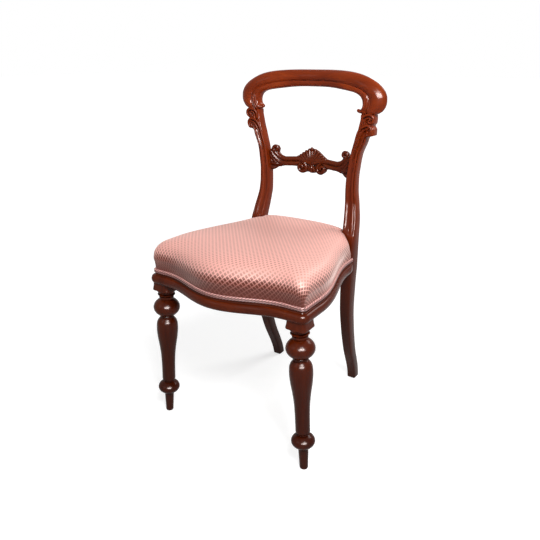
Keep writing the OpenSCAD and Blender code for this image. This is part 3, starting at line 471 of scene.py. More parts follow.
def eased_box(low, high, ease):
    """A box with small chamfers along its long edges, which run in x."""
    y0, z0, y1, z1 = low[1], low[2], high[1], high[2]
    ring = [[y0, z0 + ease], [y0, z1 - ease], [y0 + ease, z1], [y1 - ease, z1], [y1, z1 - ease],
            [y1, z0 + ease], [y1 - ease, z0], [y0 + ease, z0]]
    ends = np.linspace(low[0], high[0], 9)
    return facing_out(swept(np.array([[[x, y, z] for y, z in ring] for x in ends])))


def back_rail():
    front = BACK_RAIL_REAR - RAIL_THICK
    upper = eased_box([-LEG_IN, front, RAIL_BOTTOM + 2], [LEG_IN, BACK_RAIL_REAR, RAIL_TOP], 1.2)
    lower = eased_box([-LEG_IN, front, RAIL_BOTTOM], [LEG_IN, BACK_RAIL_REAR + REBATE, LEDGE], 1.2)
    return joined([upper, lower])


# ---------------------------------------------------------------- front legs
VASE = [[0.288, 0], [0.378, 0.02], [0.47, 0.12], [0.556, 0.42], [0.643, 0.86], [0.699, 1], [0.74, 0.94],
        [0.768, 0.62], [0.788, 0.1]]
SHAFT_D, VASE_D, NECK_D, ANKLE_D = 34, 54, 33, 29
FLARE = [[0, -0.3], [0.06, 0.5], [0.2, 1], [0.26, 0.97], [0.4, 0.6], [0.65, 0.2], [0.9, 0], [1.1, 0]]
BULB_POINTED = 1.2
LEG_TURNS, LEG_LEAN = 96, 3


def bulb(d, middle, half, low, high, steps):
    """Radii and heights of a round bulb from a low angle to a high one, where 90 is its widest place."""
    a = np.radians(np.linspace(low, high, steps))
    return np.stack([d / 2 * np.sin(a)**BULB_POINTED, BLOCK_LOW * (middle - half * np.cos(a))], -1)


def turned_profile():
    share = np.linspace(VASE[0][0], VASE[-1][0], 70)
    vase = np.stack([mix(SHAFT_D, VASE_D, curve(VASE, share, 1)) / 2, BLOCK_LOW * share], -1)
    at = BLOCK_LOW
    return np.vstack([
        [[7.5, 0], [9.3, 0.6], [10, 2.4]],
        np.stack([np.linspace(10.1, 12, 14), np.linspace(6, at * 0.148, 14)], -1),
        [[12.2, at * 0.1515]],
        bulb(56, 0.209, 0.055, 27, 150, 34),
        [[ANKLE_D / 2 - 0.3, at * 0.262], [ANKLE_D / 2 - 0.2, at * 0.27], [ANKLE_D / 2 + 0.6, at * 0.276],
         [SHAFT_D / 2 - 0.5, at * 0.278], [SHAFT_D / 2, at * 0.281]],
        vase,
        [[NECK_D / 2 - 1, at * 0.792], [NECK_D / 2 - 1, at * 0.8]],
        bulb(66, 0.8705, 0.075, 30, 146, 40),
        [[18, at * 0.944], [18.2, at * 0.956]],
        bulb(43.5, 0.9705, 0.0115, 25, 155, 14),
        [[19.4, at * 0.9845], [19.7, at * 0.99], [21, at * 0.995], [23.4, at * 0.999], [24.8, at * 1.003],
         [25, at * 1.012], [24.6, at * 1.016]]])


def turned_leg():
    """The leaning turned part, down to the floor."""
    profile = turned_profile()
    turns, lean = LEG_TURNS, math.radians(LEG_LEAN)
    a = 2 * np.pi * np.arange(turns) / turns
    ring = np.stack([profile[:, :1] * np.cos(a), profile[:, :1] * np.sin(a),
                     np.repeat(profile[:, 1:] - BLOCK_LOW, turns, 1)], -1)
    x = ring[..., 0] * math.cos(lean) - ring[..., 2] * math.sin(lean)
    z = ring[..., 0] * math.sin(lean) + ring[..., 2] * math.cos(lean)
    points = np.stack([BLOCK_X + x, BLOCK_Y + ring[..., 1], np.maximum(BLOCK_LOW + z, 0)], -1)
    return facing_out(swept(points))


def block_ring(width, z, round_r=9, steps=7):
    """A square ring with eased corners about the leg's middle."""
    out = []
    for k in range(4):
        for i in range(steps + 1):
            a = math.pi / 2 * (k + i / steps)
            c = [(1, 1), (-1, 1), (-1, -1), (1, -1)][k]
            out.append([BLOCK_X + c[0] * (width / 2 - round_r) + round_r * math.cos(a),
                        BLOCK_Y + c[1] * (width / 2 - round_r) + round_r * math.sin(a), z])
    return np.array(out)


def lower_block():
    shares = np.array(FLARE)
    k = np.linspace(0.14, 1.1, 40)
    width = mix(BLOCK, BLOCK_FLARE, np.interp(k, shares[:, 0], shares[:, 1]))
    return facing_out(swept(np.array([block_ring(w, BLOCK_LOW + BLOCK_DROP * s) for w, s in zip(width, k)])))


def upper_block():
    """The part between the rails, whose outer corner carries on their moulding."""
    rings = []
    s = corner_station(np.linspace(0, 1, 17), CORNER_R)
    for distance, z in rail_section():
        if distance <= -REBATE - 1:
            continue
        corner = out_at(s, distance, z)
        rings.append(np.vstack([[[BLOCK_IN, BLOCK_BACK, z], [BLOCK_IN, FRONT_LINE - distance, z]], corner,
                                [[SIDE_LINE + distance, BLOCK_BACK, z]]]))
    rings[-1][:, 2] = RAIL_TOP
    return facing_out(swept(np.array(rings)))


def front_leg():
    return joined([turned_leg(), lower_block(), upper_block()])


# ---------------------------------------------------------------- rear legs and uprights
LEG_SWEEP = [[0, 1], [0.03, 0.98], [0.083, 0.92], [0.16, 0.79], [0.287, 0.55], [0.41, 0.37], [0.53, 0.225],
             [0.684, 0.08], [0.8, 0.03], [0.96, 0]]
UPRIGHT = [[0, 0, 0, 0, 0, 0], [0.12, 0.06, 0.34, 0, 0, 0.16], [0.23, 0.26, 0.63, 0, 0, 0.58],
           [0.31, 0.55, 0.82, 0, 0, 0.86], [0.37, 0.76, 0.96, 0, 0, 1], [0.46, 0.98, 1, 0, 0, 1],
           [0.54, 1, 1, 0, 0.03, 1], [0.61, 1, 1, 0.05, 0.14, 1], [0.71, 1, 1, 0.17, 0.3, 1],
           [0.8, 1, 1, 0.46, 0.555, 1], [0.845, 1, 1, 0.6, 0.68, 1], [0.86, 1, 1, 1.02, 0.73, 1],
           [0.9, 1, 1, 1.02, 0.84, 1], [0.925, 1, 1, 0.9, 0.9, 1], [0.945, 1, 1, 1.0, 0.95, 1],
           [0.975, 1, 1, 1.02, 1, 1], [1, 1, 1, 1, 1, 1]]


def upright_share(z):
    return np.clip((z - RAIL_TOP) / (HEAD_LEVEL - RAIL_TOP), 0, 1)


def leg_share(z):
    return np.clip(z / RAIL_BOTTOM, 0, 1)


def rear_outer(z):
    u = upright_share(z)
    low = mix(FOOT_X + FOOT_W / 2, LEG_OUT, leg_share(z))
    high = mix(mix(LEG_OUT, WAIST_HALF, curve(UPRIGHT, u, 1)), HEAD_HALF, curve(UPRIGHT, u, 3))
    return np.where(z <= RAIL_TOP, low, high)


def rear_inner(z):
    u = upright_share(z)
    low = mix(FOOT_X - FOOT_W / 2, LEG_IN, leg_share(z))
    high = mix(mix(LEG_IN, WAIST_HALF - WAIST_W, curve(UPRIGHT, u, 2)), HEAD_HALF - HEAD_W,
               curve(UPRIGHT, u, 4))
    return np.where(z <= RAIL_TOP, low, high)


def rear_mid(z):
    return np.where(z <= RAIL_TOP, mix(LEG_MID, FOOT_MID, curve(LEG_SWEEP, leg_share(z), 1)),
                    mix(LEG_MID, BACK_PLANE, curve(UPRIGHT, upright_share(z), 5)))


def rear_depth(z):
    return np.where(z <= RAIL_TOP, mix(FOOT_D, LEG_DEPTH, leg_share(z)),
                    mix(LEG_DEPTH, UPRIGHT_D, curve(UPRIGHT, upright_share(z), 5)))


def rear_front(z):
    return rear_mid(z) - rear_depth(z) / 2


# Front of an upright from its inner to its outer side: share of the width, and depth behind its front.
# It has a bead, a hollow, a rib, a quirk and a thin outer bead.
PLAIN_FRONT = [[0, 3.5], [0.02, 2.2], [0.05, 1], [0.09, 0.3], [0.14, 0], [0.5, 0], [0.86, 0], [0.91, 0.3],
               [0.95, 1], [0.98, 2.2], [1, 3.5]]
CARVED_FRONT = [[0, 5.5], [0.015, 4], [0.05, 2.2], [0.1, 1.3], [0.16, 1.2], [0.22, 1.9], [0.28, 2.8],
                [0.37, 3.4], [0.47, 3.2], [0.54, 2.5], [0.585, 1.6], [0.64, 0.5], [0.7, 0], [0.77, 0.4],
                [0.815, 1.6], [0.835, 2.9], [0.855, 3], [0.875, 2.1], [0.91, 1.5], [0.95, 2], [0.985, 3.6],
                [1, 5.5]]
# The moulding of an upright rises out of plain wood between two heights, and this deep its bed begins
MOULDED_FROM, MOULDED_TO, BED = 470, 500, 2.7
# Eased edge of a rear foot: heights, and how far it is drawn in there
HEEL = [0, 0.4, 1.2, 3], [3, 1.9, 0.9, 0]


def rear_leg():
    """One sawn piece from the floor to the crest, with a moulded front above the seat."""
    z = np.concatenate([HEEL[0], np.linspace(6, RAIL_TOP, 110),
                        np.linspace(RAIL_TOP + 2, HEAD_LEVEL, 240)])
    foot = np.interp(z, *HEEL)
    x0, x1 = rear_inner(z) + foot, rear_outer(z) - foot
    y0, d = rear_front(z) + foot, rear_depth(z) - 2 * foot
    s = np.concatenate([np.linspace(0, 0.16, 12)[:-1], np.linspace(0.16, 0.56, 16)[:-1],
                        np.linspace(0.56, 1, 36)])
    plain, carved = curve(PLAIN_FRONT, s, 1), curve(CARVED_FRONT, s, 1)
    show = np.clip((z - MOULDED_FROM) / (MOULDED_TO - MOULDED_FROM), 0, 1)[:, None]
    depth = mix(plain, carved, smooth_step(show, 0, 1))
    tongue = smooth_step(show, 0, 0.35) * (1 - smooth_step(show, 0.35, 1)) * 1.2
    depth = depth + tongue * (carved < BED) * (s > 0.03) * (s < 0.97)
    front = np.stack([mix(x0[:, None], x1[:, None], s[None]), y0[:, None] + depth,
                      np.repeat(z[:, None], len(s), 1)], -1)
    back = [[1, 0.5], [1, 0.9], [0.985, 0.95], [0.95, 0.985], [0.9, 1], [0.5, 1], [0.1, 1], [0.05, 0.985],
            [0.015, 0.95], [0, 0.9], [0, 0.5]]
    rear = np.array([[mix(x0, x1, u), y0 + d * v, z] for u, v in back]).transpose(2, 0, 1)
    return facing_out(swept(np.concatenate([front, rear], 1)))


# Leaf scrolls on the head of an upright: x, depth behind its front, height and radius
LEAF = [
    [[152, 2.2, 742, 0.9], [153.5, 0.8, 752.8, 1.8], [155, 0, 763, 2.5], [160.7, -0.8, 770, 3],
     [171, -1.4, 773, 3.4], [179.5, -1.6, 770.5, 3.6], [183.6, -1.4, 764.5, 3.5], [182.6, -1.2, 757.8, 3.2],
     [178.8, -1.4, 754, 2.9], [174, -1.8, 754.2, 2.6], [171.6, -2.2, 757.8, 2.4], [174.2, -2.8, 760.8, 2.4]],
    [[158.5, 1.6, 746, 0.9], [160.8, 0.4, 753, 1.6], [162.7, -0.2, 760.5, 1.9], [167.8, -0.6, 764.6, 2],
     [174, -0.8, 765, 1.8], [178, -0.6, 762.6, 1.4]],
    [[152.5, 1.8, 733, 0.9], [156.5, 0.4, 744, 1.6], [161.5, -0.2, 751, 1.8], [166.8, -0.4, 752.4, 1.6],
     [171.6, -0.4, 749.6, 1.2]],
    [[124, 3.2, 655, 0.8], [130.5, 2, 681, 1.8], [137, 0.9, 706, 2.5], [142.8, 0, 724.5, 2.9],
     [149.8, -0.6, 736.8, 3.1], [159, -1.2, 745, 3.3], [169, -1.6, 747.6, 3.5], [176.6, -1.6, 743.8, 3.6],
     [179.6, -1.4, 737.4, 3.5], [178.6, -1.2, 730.6, 3.2], [175, -1.4, 725.6, 2.9], [171, -1.8, 724.6, 2.6],
     [168.8, -2.2, 728, 2.4], [171, -2.8, 731.6, 2.4]],
    [[133, 2.8, 660, 0.8], [140.5, 1.6, 688, 1.7], [148, 0.4, 712.9, 2.1], [152.8, -0.2, 724.2, 2.2],
     [158.8, -0.6, 733.4, 2.2], [166, -0.9, 739, 2.1], [174.4, -0.9, 740.4, 1.9], [180, -0.6, 737.6, 1.4]],
    [[142, 2.8, 662, 0.8], [150, 1.4, 690, 1.7], [158, 0.4, 712, 2], [162.8, 0, 722, 2],
     [168.2, -0.4, 729.6, 1.7]],
    [[180, 4, 763, 4.6], [176.5, 17, 762, 3.2]], [[174.8, 4, 734.5, 4.8], [170, 17, 737, 3]],
    [[175.5, 2, 750.5, 4.2], [173, 17, 750.5, 3]],
]
# How far the scrolls keep from the upright's inner side
LEAF_WALL = 1.2


def leaf_scroll():
    """The carved leaf on the head of the right upright."""
    field = field_over([116, -10, 648], [194, 28, 782])
    for line in LEAF:
        rod = spline(line, 5) if len(line) > 2 else np.array(line, float)
        rod[:, 0] = np.maximum(rod[:, 0], rear_inner(rod[:, 2]) + rod[:, 3] + LEAF_WALL)
        add_tube(field, rod)
    points, faces = surface(field)
    points[:, 1] += rear_front(points[:, 2])
    return facing_out((points, faces))


# ---------------------------------------------------------------- crest rail
CREST = [[0.945, 0.07, 0.7, 0.035, 0.5], [0.972, 0.13, 0.675, 0.085, 0.8], [0.99, 0.2, 0.705, 0.15, 1],
         [1, 0.3, 0.714, 0.23, 1], [0.998, 0.4, 0.708, 0.31, 1], [0.98, 0.51, 0.688, 0.385, 0.95],
         [0.946, 0.61, 0.65, 0.445, 0.85], [0.895, 0.7, 0.6, 0.485, 0.7], [0.82, 0.79, 0.53, 0.512, 0.5],
         [0.73, 0.87, 0.455, 0.533, 0.3], [0.62, 0.933, 0.375, 0.553, 0.15],
         [0.49, 0.972, 0.285, 0.573, 0.05],
         [0.335, 0.993, 0.19, 0.585, 0], [0.165, 1, 0.095, 0.589, 0]]
# Section from the inner to the outer edge: share of the way, and share of half the depth towards the rear
CREST_FRONT = [[0, 0.1], [0.012, -0.3], [0.04, -0.58], [0.08, -0.74], [0.14, -0.85], [0.2, -0.88],
               [0.26, -0.87], [0.31, -0.82], [0.34, -0.755], [0.36, -0.735], [0.38, -0.765], [0.43, -0.88],
               [0.5, -0.97], [0.58, -1], [0.68, -0.95], [0.78, -0.82], [0.87, -0.62], [0.94, -0.38],
               [0.985, -0.12], [1, 0.1]]
CREST_BACK = [[0, 0.1], [0.03, 0.5], [0.1, 0.8], [0.2, 0.93], [0.5, 1], [0.75, 0.92], [0.9, 0.68],
              [0.97, 0.4], [1, 0.1]]


def crest_path():
    half = [[HEAD_HALF, HEAD_LEVEL, HEAD_HALF - HEAD_W, HEAD_LEVEL, UPRIGHT_D]]
    half += [[CREST_HALF * a, HEAD_LEVEL + CREST_RISE * b, CREST_HALF * c, HEAD_LEVEL + CREST_RISE * e,
              mix(CREST_D, SHOULDER_D, f)] for a, b, c, e, f in CREST]
    middle = [[0, HEIGHT, 0, HEIGHT - CREST_BAR, CREST_D]]
    return half + middle + [[-p[0], p[1], -p[2], p[3], p[4]] for p in half[::-1]]


def crest_rail():
    path = [[i] + row for i, row in enumerate(crest_path())]
    t = np.linspace(0, len(path) - 1, 421)
    xo, zo, xi, zi, d = [curve(path, t, c)[:, None] for c in range(1, 6)]
    s = np.concatenate([np.linspace(0, 0.06, 6)[:-1], np.linspace(0.06, 0.34, 12)[:-1],
                        np.linspace(0.34, 0.44, 9)[:-1], np.linspace(0.44, 0.9, 14)[:-1],
                        np.linspace(0.9, 1, 8)])
    r = np.concatenate([np.linspace(1, 0.88, 6)[1:], np.linspace(0.88, 0.12, 9)[1:],
                        np.linspace(0.12, 0, 6)[1:-1]])
    share = np.concatenate([s, r])[None]
    deep = np.concatenate([curve(CREST_FRONT, s, 1), curve(CREST_BACK, r, 1)])[None]
    x = mix(xi, xo, share)
    return facing_out(swept(np.stack([x, back_mid(x) + deep * d / 2, mix(zi, zo, share)], -1)))


# Flutes beside the crest's inner edge, which end in a small curl: x, height and radius, on the crest's face
NIB = [
    [[160, 812, 1], [158.5, 804, 2.2], [157.5, 797, 2.8], [156.5, 790, 3], [154, 783.5, 3], [149.5, 779, 3.2],
     [143.5, 778.2, 3.7], [138.6, 780.6, 4.3]],
    [[165.5, 812, 0.8], [164.6, 804, 2.1], [163.8, 797, 2.6], [162.6, 789, 2.8], [160, 781.5, 2.7],
     [155.5, 775.8, 1.9]],
    [[171, 814, 0.7], [170.2, 806, 2], [169.8, 798, 2.5], [168.8, 790, 2.7], [166.4, 782, 2.6],
     [162, 776, 1.8]],
]
# How deep they sink in shares of their radius, how far ahead of the back's middle they stay, and how often
# their line is smoothed
NIB_SUNK, NIB_AHEAD, NIB_ROUNDS = 0.35, 5.0, 12


def crest_nib():
    points, faces = crest_rail()
    tree = BVHTree.FromPolygons([Vector(p) for p in points], faces)
    field = field_over([128, 148, 766], [176, 186, 826])
    for line in NIB:
        rod = spline(line, 6)
        y = []
        for x, z, r in rod:
            hit = tree.ray_cast(Vector((x, 0, z)), Vector((0, 1, 0)))[0]
            y.append(hit[1] + NIB_SUNK * r if hit else float(back_mid(x)) - NIB_AHEAD)
        y = np.minimum(y, back_mid(rod[:, 0]) - NIB_AHEAD)
        y = evened(y, NIB_ROUNDS)
        add_tube(field, np.column_stack([rod[:, 0], y, rod[:, 1], rod[:, 2]]))
    return facing_out(surface(field))


# ---------------------------------------------------------------- cross rail
# Outline of the right half of the plate behind the carving, in x and height
PLATE = [[0, 674], [9, 672], [18, 667.5], [33, 656.5], [43, 650.5], [60, 648.5], [80, 648], [91, 652.5],
         [97, 660], [95, 669], [99, 677], [106, 679.5], [113, 676], [119, 668], [125, 662], [125, 613],
         [110, 612.5],
         [99, 620.5], [84, 624], [60, 625], [45, 624.5], [41, 616], [32, 609.5], [22, 609.5], [14, 612.5],
         [6, 610.5], [0, 609.5]]
# Rods of the right half: x, depth behind the middle of the back, height and radius
RODS = [
    [[79, -2, 643.5, 6.2], [66, -2.4, 644, 6.4], [52, -3, 645, 6.3], [42, -3.6, 645.6, 6],
      [33, -4.4, 643.6, 5.6],
     [25, -5, 638.2, 5.3], [18.5, -5.4, 630, 5.1], [17, -5.8, 621, 5], [22, -6, 614.6, 5],
      [30.5, -6.2, 613.6, 4.8],
     [37, -6.6, 619, 4.5], [38, -7, 626.5, 4.1], [33, -7.6, 631, 3.7], [27.4, -8.2, 628.6, 3.4],
     [27, -8.8, 623.6, 3.4]],
    [[79, -2, 630.6, 6.2], [64, -2.2, 631.2, 6.2], [50, -2.6, 632.6, 5.8], [41, -3, 635, 4.8],
     [34, -3.2, 637, 3.4]],
    [[79, -2, 643.5, 6.2], [90, -2, 646.8, 6], [100, -2.4, 653, 5.6], [108, -3, 661.6, 5.2],
     [111, -3.4, 670, 4.9], [106.5, -3.8, 676, 4.6], [99.5, -4.2, 674.4, 4.2], [98, -4.8, 667.8, 3.9],
     [103, -5.6, 665.4, 3.8]],
    [[79, -2, 630.6, 6.2], [90, -2, 633.2, 5.8], [101, -2.4, 640.6, 5.4], [110, -3, 650.6, 5],
     [118, -2, 661, 4.6]],
    [[84, -1.4, 627, 4.2], [96, -2, 628.8, 4.6], [106, -2.4, 635.4, 4.6], [113, -2.4, 643.6, 4.4],
     [119, -2, 650, 4.2]],
    [[90, -0.8, 624, 3.2], [102, -1.8, 625.4, 3.8], [111, -2.2, 630.6, 3.8], [119, -2, 637, 3.6]],
    [[99, 0, 622, 2.8], [107, -1.6, 618.4, 4.4], [113, -2.4, 617, 5], [119, -2, 620, 4.6]],
    [[93, -1, 628.6, 3.8], [100, -3.2, 629, 4.8], [106, -3.6, 629, 5], [113, -2.2, 629.6, 5],
     [120, 0, 631, 5]],
    [[0, -6, 634, 2.2], [0.6, -9.6, 625, 3.4], [0.4, -8.4, 616, 4.6]],
    [[1.6, -5, 631, 1.8], [6, -8, 624, 2.6], [8.4, -6.6, 618, 3.2]],
    [[2, -5, 634, 1.6], [12, -6.4, 637, 2.2], [22, -5, 643.5, 2.2]],
]
RIB_TIPS = [[0, 672.5], [9.3, 670.5], [18, 665.8], [26, 660.2], [33.4, 654.8], [40.6, 650]]
RIB_FOCUS = [0, 633]


def cross_rail():
    """Double reeded arms with scrolled ends, volutes and a ribbed shell."""
    field = field_over([-127, -20, 600], [127, 16, 688], 0.65)
    right = np.array(PLATE)
    add_plate(field, np.vstack([right, right[-2:0:-1] * [-1, 1]]), -4.5, 8.6, 4)
    for line in RODS:
        half = spline(line, 4)
        for side in (1, -1):
            if side == 1 or line[0][0] or line[1][0] > 1:
                add_tube(field, half * [side, 1, 1, 1])
    for x, z in RIB_TIPS:
        for side in ((1,) if x == 0 else (1, -1)):
            rib = [[mix(RIB_FOCUS[0], x, u) * side, -5.4 - 5.2 * math.sin(math.pi * u**0.8) + 1.2 * u,
                    mix(RIB_FOCUS[1], z, u), mix(1.5, 4.7, u**0.8)] for u in np.linspace(0.06, 1, 12)]
            add_tube(field, rib, 0.5)
    add_tube(field, [[0, -8, 674, 4.2], [0.2, -8.6, 675.4, 4.2]], 0.8)
    cut_ball(field, [0, -14.4, 667.2], 2.4)
    points, faces = surface(field)
    points[:, 1] += back_mid(points[:, 0])
    return facing_out((points, faces))


# ---------------------------------------------------------------- seat
# Rows of the cover from its lower edge to the crown: place, height share, swell share, rounding share, size
SEAT = [[0, 0, 0, 0, 1], [1, 0.18, 0.05, 0, 1], [2, 0.3, 0.35, 0.1, 1], [3, 0.44, 0.9, 0.25, 1],
        [4, 0.59, 1, 0.5, 1], [5, 0.73, 0.7, 0.75, 0.992], [6, 0.845, 0.05, 1, 0.97],
        [7, 0.92, -0.5, 1, 0.913],
        [8, 0.965, -1, 1, 0.78], [9, 0.987, -1, 1, 0.55], [10, 1, -1, 1, 0.25], [10.6, 1.003, -1, 1, 0.02]]
# Room between the cover and a rear leg, and how near it comes at its fullest
LEG_GAP, LEG_SKIN = 0.6, 0.3
SIDE_LAST = LEG_FRONT - LEG_GAP - CORNER_R
# Spans of a ring along the front, a corner, a side, a part of the notch round a leg, and the back
FRONT_N, CORNER_N, SIDE_N, LEG_N, BACK_N = 70, 36, 76, 14, 44
# The first point of the notch in the right half of a ring
NOTCH = FRONT_N + CORNER_N + SIDE_N + LEG_N + 1


def spread(a, b, n):
    return mix(np.array(a, float), np.array(b, float), np.arange(n)[:, None] / n)


def beside_leg(z, inset):
    """The inner side and the front of a rear leg at a height, with room for the cover."""
    z = np.array(max(z, RAIL_TOP + 0.01))
    return float(rear_inner(z)) - LEG_GAP - inset, float(rear_front(z)) - LEG_GAP - inset


def seat_half(z, swell, rounding, inset):
    """The right half of a ring, from the front's middle to the back's: places, and outward directions."""
    plain = SKIRT_OUT - inset
    out = plain + (SWELL - SKIRT_OUT) * swell
    nx, ny = beside_leg(z, inset)
    by = BACK_FACE + SWELL * swell - inset
    a = front_station(mix(0, BLOCK_IN, np.arange(FRONT_N) / FRONT_N))
    b = corner_run(np.arange(CORNER_N) / CORNER_N, mix(CORNER_R, CROWN_R, rounding))
    c = side_station(mix(BLOCK_BACK, SIDE_LAST, np.arange(SIDE_N) / SIDE_N))
    near = np.minimum((SIDE_LAST - c[:, 1]) / SIDE_RUN / 0.35, 1)
    last = out_at(side_station(np.array([SIDE_LAST])), plain, z)[:, :2]
    corner = [REAR_LINE + plain, ny]
    half = np.vstack([
        out_at(a, out, z)[:, :2], out_at(b, out, z)[:, :2],
        out_at(c, plain + (out - plain) * near, z)[:, :2], spread(last[0], corner, LEG_N),
        spread(corner, [nx, ny], 2 * LEG_N), spread([nx, ny], [nx, by], 2 * LEG_N),
        spread([nx, by], [0, by], BACK_N), [[0, by]]])
    ways = [a[:, 2:], b[:, 2:], c[:, 2:]] + [np.tile(way, (n, 1)) for way, n in (
        ([1, 0.1], LEG_N), ([0, 1], 2 * LEG_N), ([1, 0], 2 * LEG_N), ([0, 1], BACK_N + 1))]
    turn = slice(NOTCH - LEG_N - 27, NOTCH + LEG_N + 1)
    half[turn] = evened(half[turn], int(40 + 900 * rounding))
    return half, np.vstack(ways)


def keep_off_legs(ring, nx, ny):
    """Moves a ring's points out of the rear legs, by the shorter way."""
    deep_x = np.abs(ring[:, 0]) - min(nx + LEG_SKIN, LEG_IN - LEG_SKIN)
    deep_y = ring[:, 1] - (ny + LEG_SKIN)
    hit = (deep_x > 0) & (deep_y > 0) & (ring[:, 1] < ny + 60)
    ring[:, 0] -= np.where(hit & (deep_x < deep_y), np.sign(ring[:, 0]) * deep_x, 0)
    ring[:, 1] -= np.where(hit & (deep_x >= deep_y), deep_y, 0)


def seat_ring(place, inset):
    """A ring of the cover's outside, moved inward by the inset: points, and the outward directions."""
    share, swell, rounding, size = [float(curve(SEAT, place, c)) for c in (1, 2, 3, 4)]
    z = SKIRT_BOTTOM + (CROWN_TOP - SKIRT_BOTTOM) * share - (inset if share > 0.6 else 0)
    half, ways = seat_half(z, swell, rounding, inset)
    height = np.full(len(half), z)
    height[NOTCH:NOTCH + 4 * LEG_N] = max(z, NOTCH_FLOOR + (z - SKIRT_BOTTOM) * 0.02)
    flip = slice(len(half) - 2, 0, -1)
    height = np.concatenate([height, height[flip]])
    ways = rounded(unit(np.vstack([ways, ways[flip] * [-1, 1]])), 12)
    ring = np.vstack([half, half[flip] * [-1, 1]])
    ring = rounded(SEAT_CENTRE + (ring - SEAT_CENTRE) * size, int(2 + 60 * smooth_step(share, 0.8, 1.0)))
    keep_off_legs(ring, *beside_leg(z, inset))
    return np.column_stack([ring, height + smooth_step(share, 0.5, 0.9) * dome(ring)]), unit(ways)


DOME_MIDDLE, DOME_CORNER = 8.0, -1.5


def dome(ring):
    """How much higher the stuffing stands along the back edge, in its middle and at its corners."""
    rear = smooth_step(ring[:, 1], 0, LEG_FRONT)
    out = np.minimum(np.abs(ring[:, 0]) / LEG_IN, 1.3)
    return rear * (DOME_MIDDLE - (DOME_MIDDLE - DOME_CORNER) * out**3)


def seat_rings(places, inset):
    made = [seat_ring(place, inset) for place in places]
    return np.array([m[0] for m in made]), np.array([m[1] for m in made])


# Hessian: room for it, its thickness, its sag between the strips, and how far inside the cover it ends
HESSIAN_ROOM, HESSIAN_T, HESSIAN_SAG, HESSIAN_INSET = 0.8, 0.5, 0.25, 5
HESSIAN_TOP = RAIL_TOP + 2 * WEB_T + 0.05 + 0.05 + HESSIAN_ROOM
PAD_BOTTOM = HESSIAN_TOP + CLOTH_GAP
# Pad: how far it may swell, the pressure in it, the simulation's frames, and its voxel in metres
PUFF_ROOM, PRESSURE, FRAMES, PAD_VOXEL = 3.2, 4, 20, 0.006


def tipped(rings):
    """The points of rings, and the middle of the last ring."""
    return np.vstack([rings.reshape(-1, 3), [rings[-1].mean(0)]])


def capped(rings):
    """A solid from rings, closed by a fan at its top and a flat face at its bottom."""
    rows, columns = rings.shape[:2]
    return facing_out((tipped(rings), fanned(rows, columns) + [list(range(columns))[::-1]]))


def make_pad():
    """The stuffed pad: a slightly small form that a cloth simulation swells to fill the cover."""
    places = np.concatenate([np.linspace(2.2, 8, 26), np.linspace(8.2, 10.6, 8)])
    rings, _ = seat_rings(places, COVER_T + CLOTH_GAP + PUFF_ROOM)
    foot = rings[0].copy()
    foot[:, 2] = PAD_BOTTOM
    rings = rings[rings[:, 0, 2] > PAD_BOTTOM + 1]
    pad = new_piece("stuffed_pad", *capped(np.concatenate([foot[None], rings])), sharp=0)
    bpy.context.view_layer.objects.active = pad
    pad.data.remesh_voxel_size = PAD_VOXEL
    with bpy.context.temp_override(object=pad, active_object=pad, selected_objects=[pad]):
        bpy.ops.object.voxel_remesh()
    swell_by_cloth(pad, cap=PUFF_ROOM)
    return pad


def swell_by_cloth(piece, cap):
    """Blows a closed pad up as cloth, and moves each point at most by the cap."""
    before = points_of(piece)
    cloth = piece.modifiers.new("swell", "CLOTH")
    cloth.settings.use_pressure = True
    cloth.settings.uniform_pressure_force = PRESSURE
    cloth.settings.effector_weights.gravity = 0
    scene = bpy.context.scene
    for number in range(1, FRAMES + 1):
        scene.frame_set(number)
    shape = piece.evaluated_get(bpy.context.evaluated_depsgraph_get()).to_mesh()
    move = per_vertex(shape, "co") / MM - before
    piece.modifiers.remove(cloth)
    scene.frame_set(1)
    move[:, 2] = np.where(before[:, 2] < PAD_BOTTOM + 1, 0, move[:, 2])
    length = np.maximum(np.linalg.norm(move, axis=1, keepdims=True), 1e-9)
    after = before + move * np.minimum(1, cap / length)
    piece.data.vertices.foreach_set("co", (after * MM).ravel())
    piece.data.update()


# How widely the cloth is drawn towards a corner, in rounds of smoothing along a ring
PULL = 500


def pull_directions():
    """Which way the cloth is drawn down at each place of a ring: outward, and slanting near the corners."""
    half = np.vstack([np.tile([0, -1.0], (FRONT_N + CORNER_N // 2, 1)),
                      np.tile([1, 0.1], (CORNER_N - CORNER_N // 2 + SIDE_N + 5 * LEG_N, 1)),
                      np.tile([0, 1.0], (BACK_N + 1, 1))])
    ways = np.vstack([half, half[len(half) - 2:0:-1] * [-1, 1]])
    return unit(rounded(ways, PULL))


def make_cover(pad):
    """The satin cover, stretched over the pad and tacked into the rebate."""
    places = np.concatenate([np.linspace(0, 8, 74)[:-1], np.linspace(8, 10.6, 40)])
    rings, normals = seat_rings(places, 0)
    rows, columns = rings.shape[:2]
    step = np.linalg.norm(np.diff(rings, axis=0), axis=2)
    flat = np.diff(rings[..., :2], axis=0)
    inward = np.linalg.norm(flat, axis=2)
    share = np.clip(inward / np.maximum(step, 1e-9), 0, 1)[..., None]
    way = unit(mix(-pull_directions(), unit(flat), smooth_step(share, 0.75, 1)))
    cloth = np.zeros((rows, columns, 2))
    cloth[-1] = rings[-1, :, :2]
    for i in range(rows - 2, -1, -1):
        cloth[i] = cloth[i + 1] - way[i] * step[i][:, None]
    rings = settled(rings, pad)
    rings = tucked(rings, normals)
    points = tipped(rings)
    cover = new_piece("satin_cover", points, fanned(rows, columns), sharp=0)
    put_attribute(cover, "cloth", np.column_stack([
        np.vstack([cloth.reshape(-1, 2), [rings[-1].mean(0)[:2]]]), np.zeros(len(points))]) * MM)
    return cover, cloth, thickened(cover, COVER_T, -1)


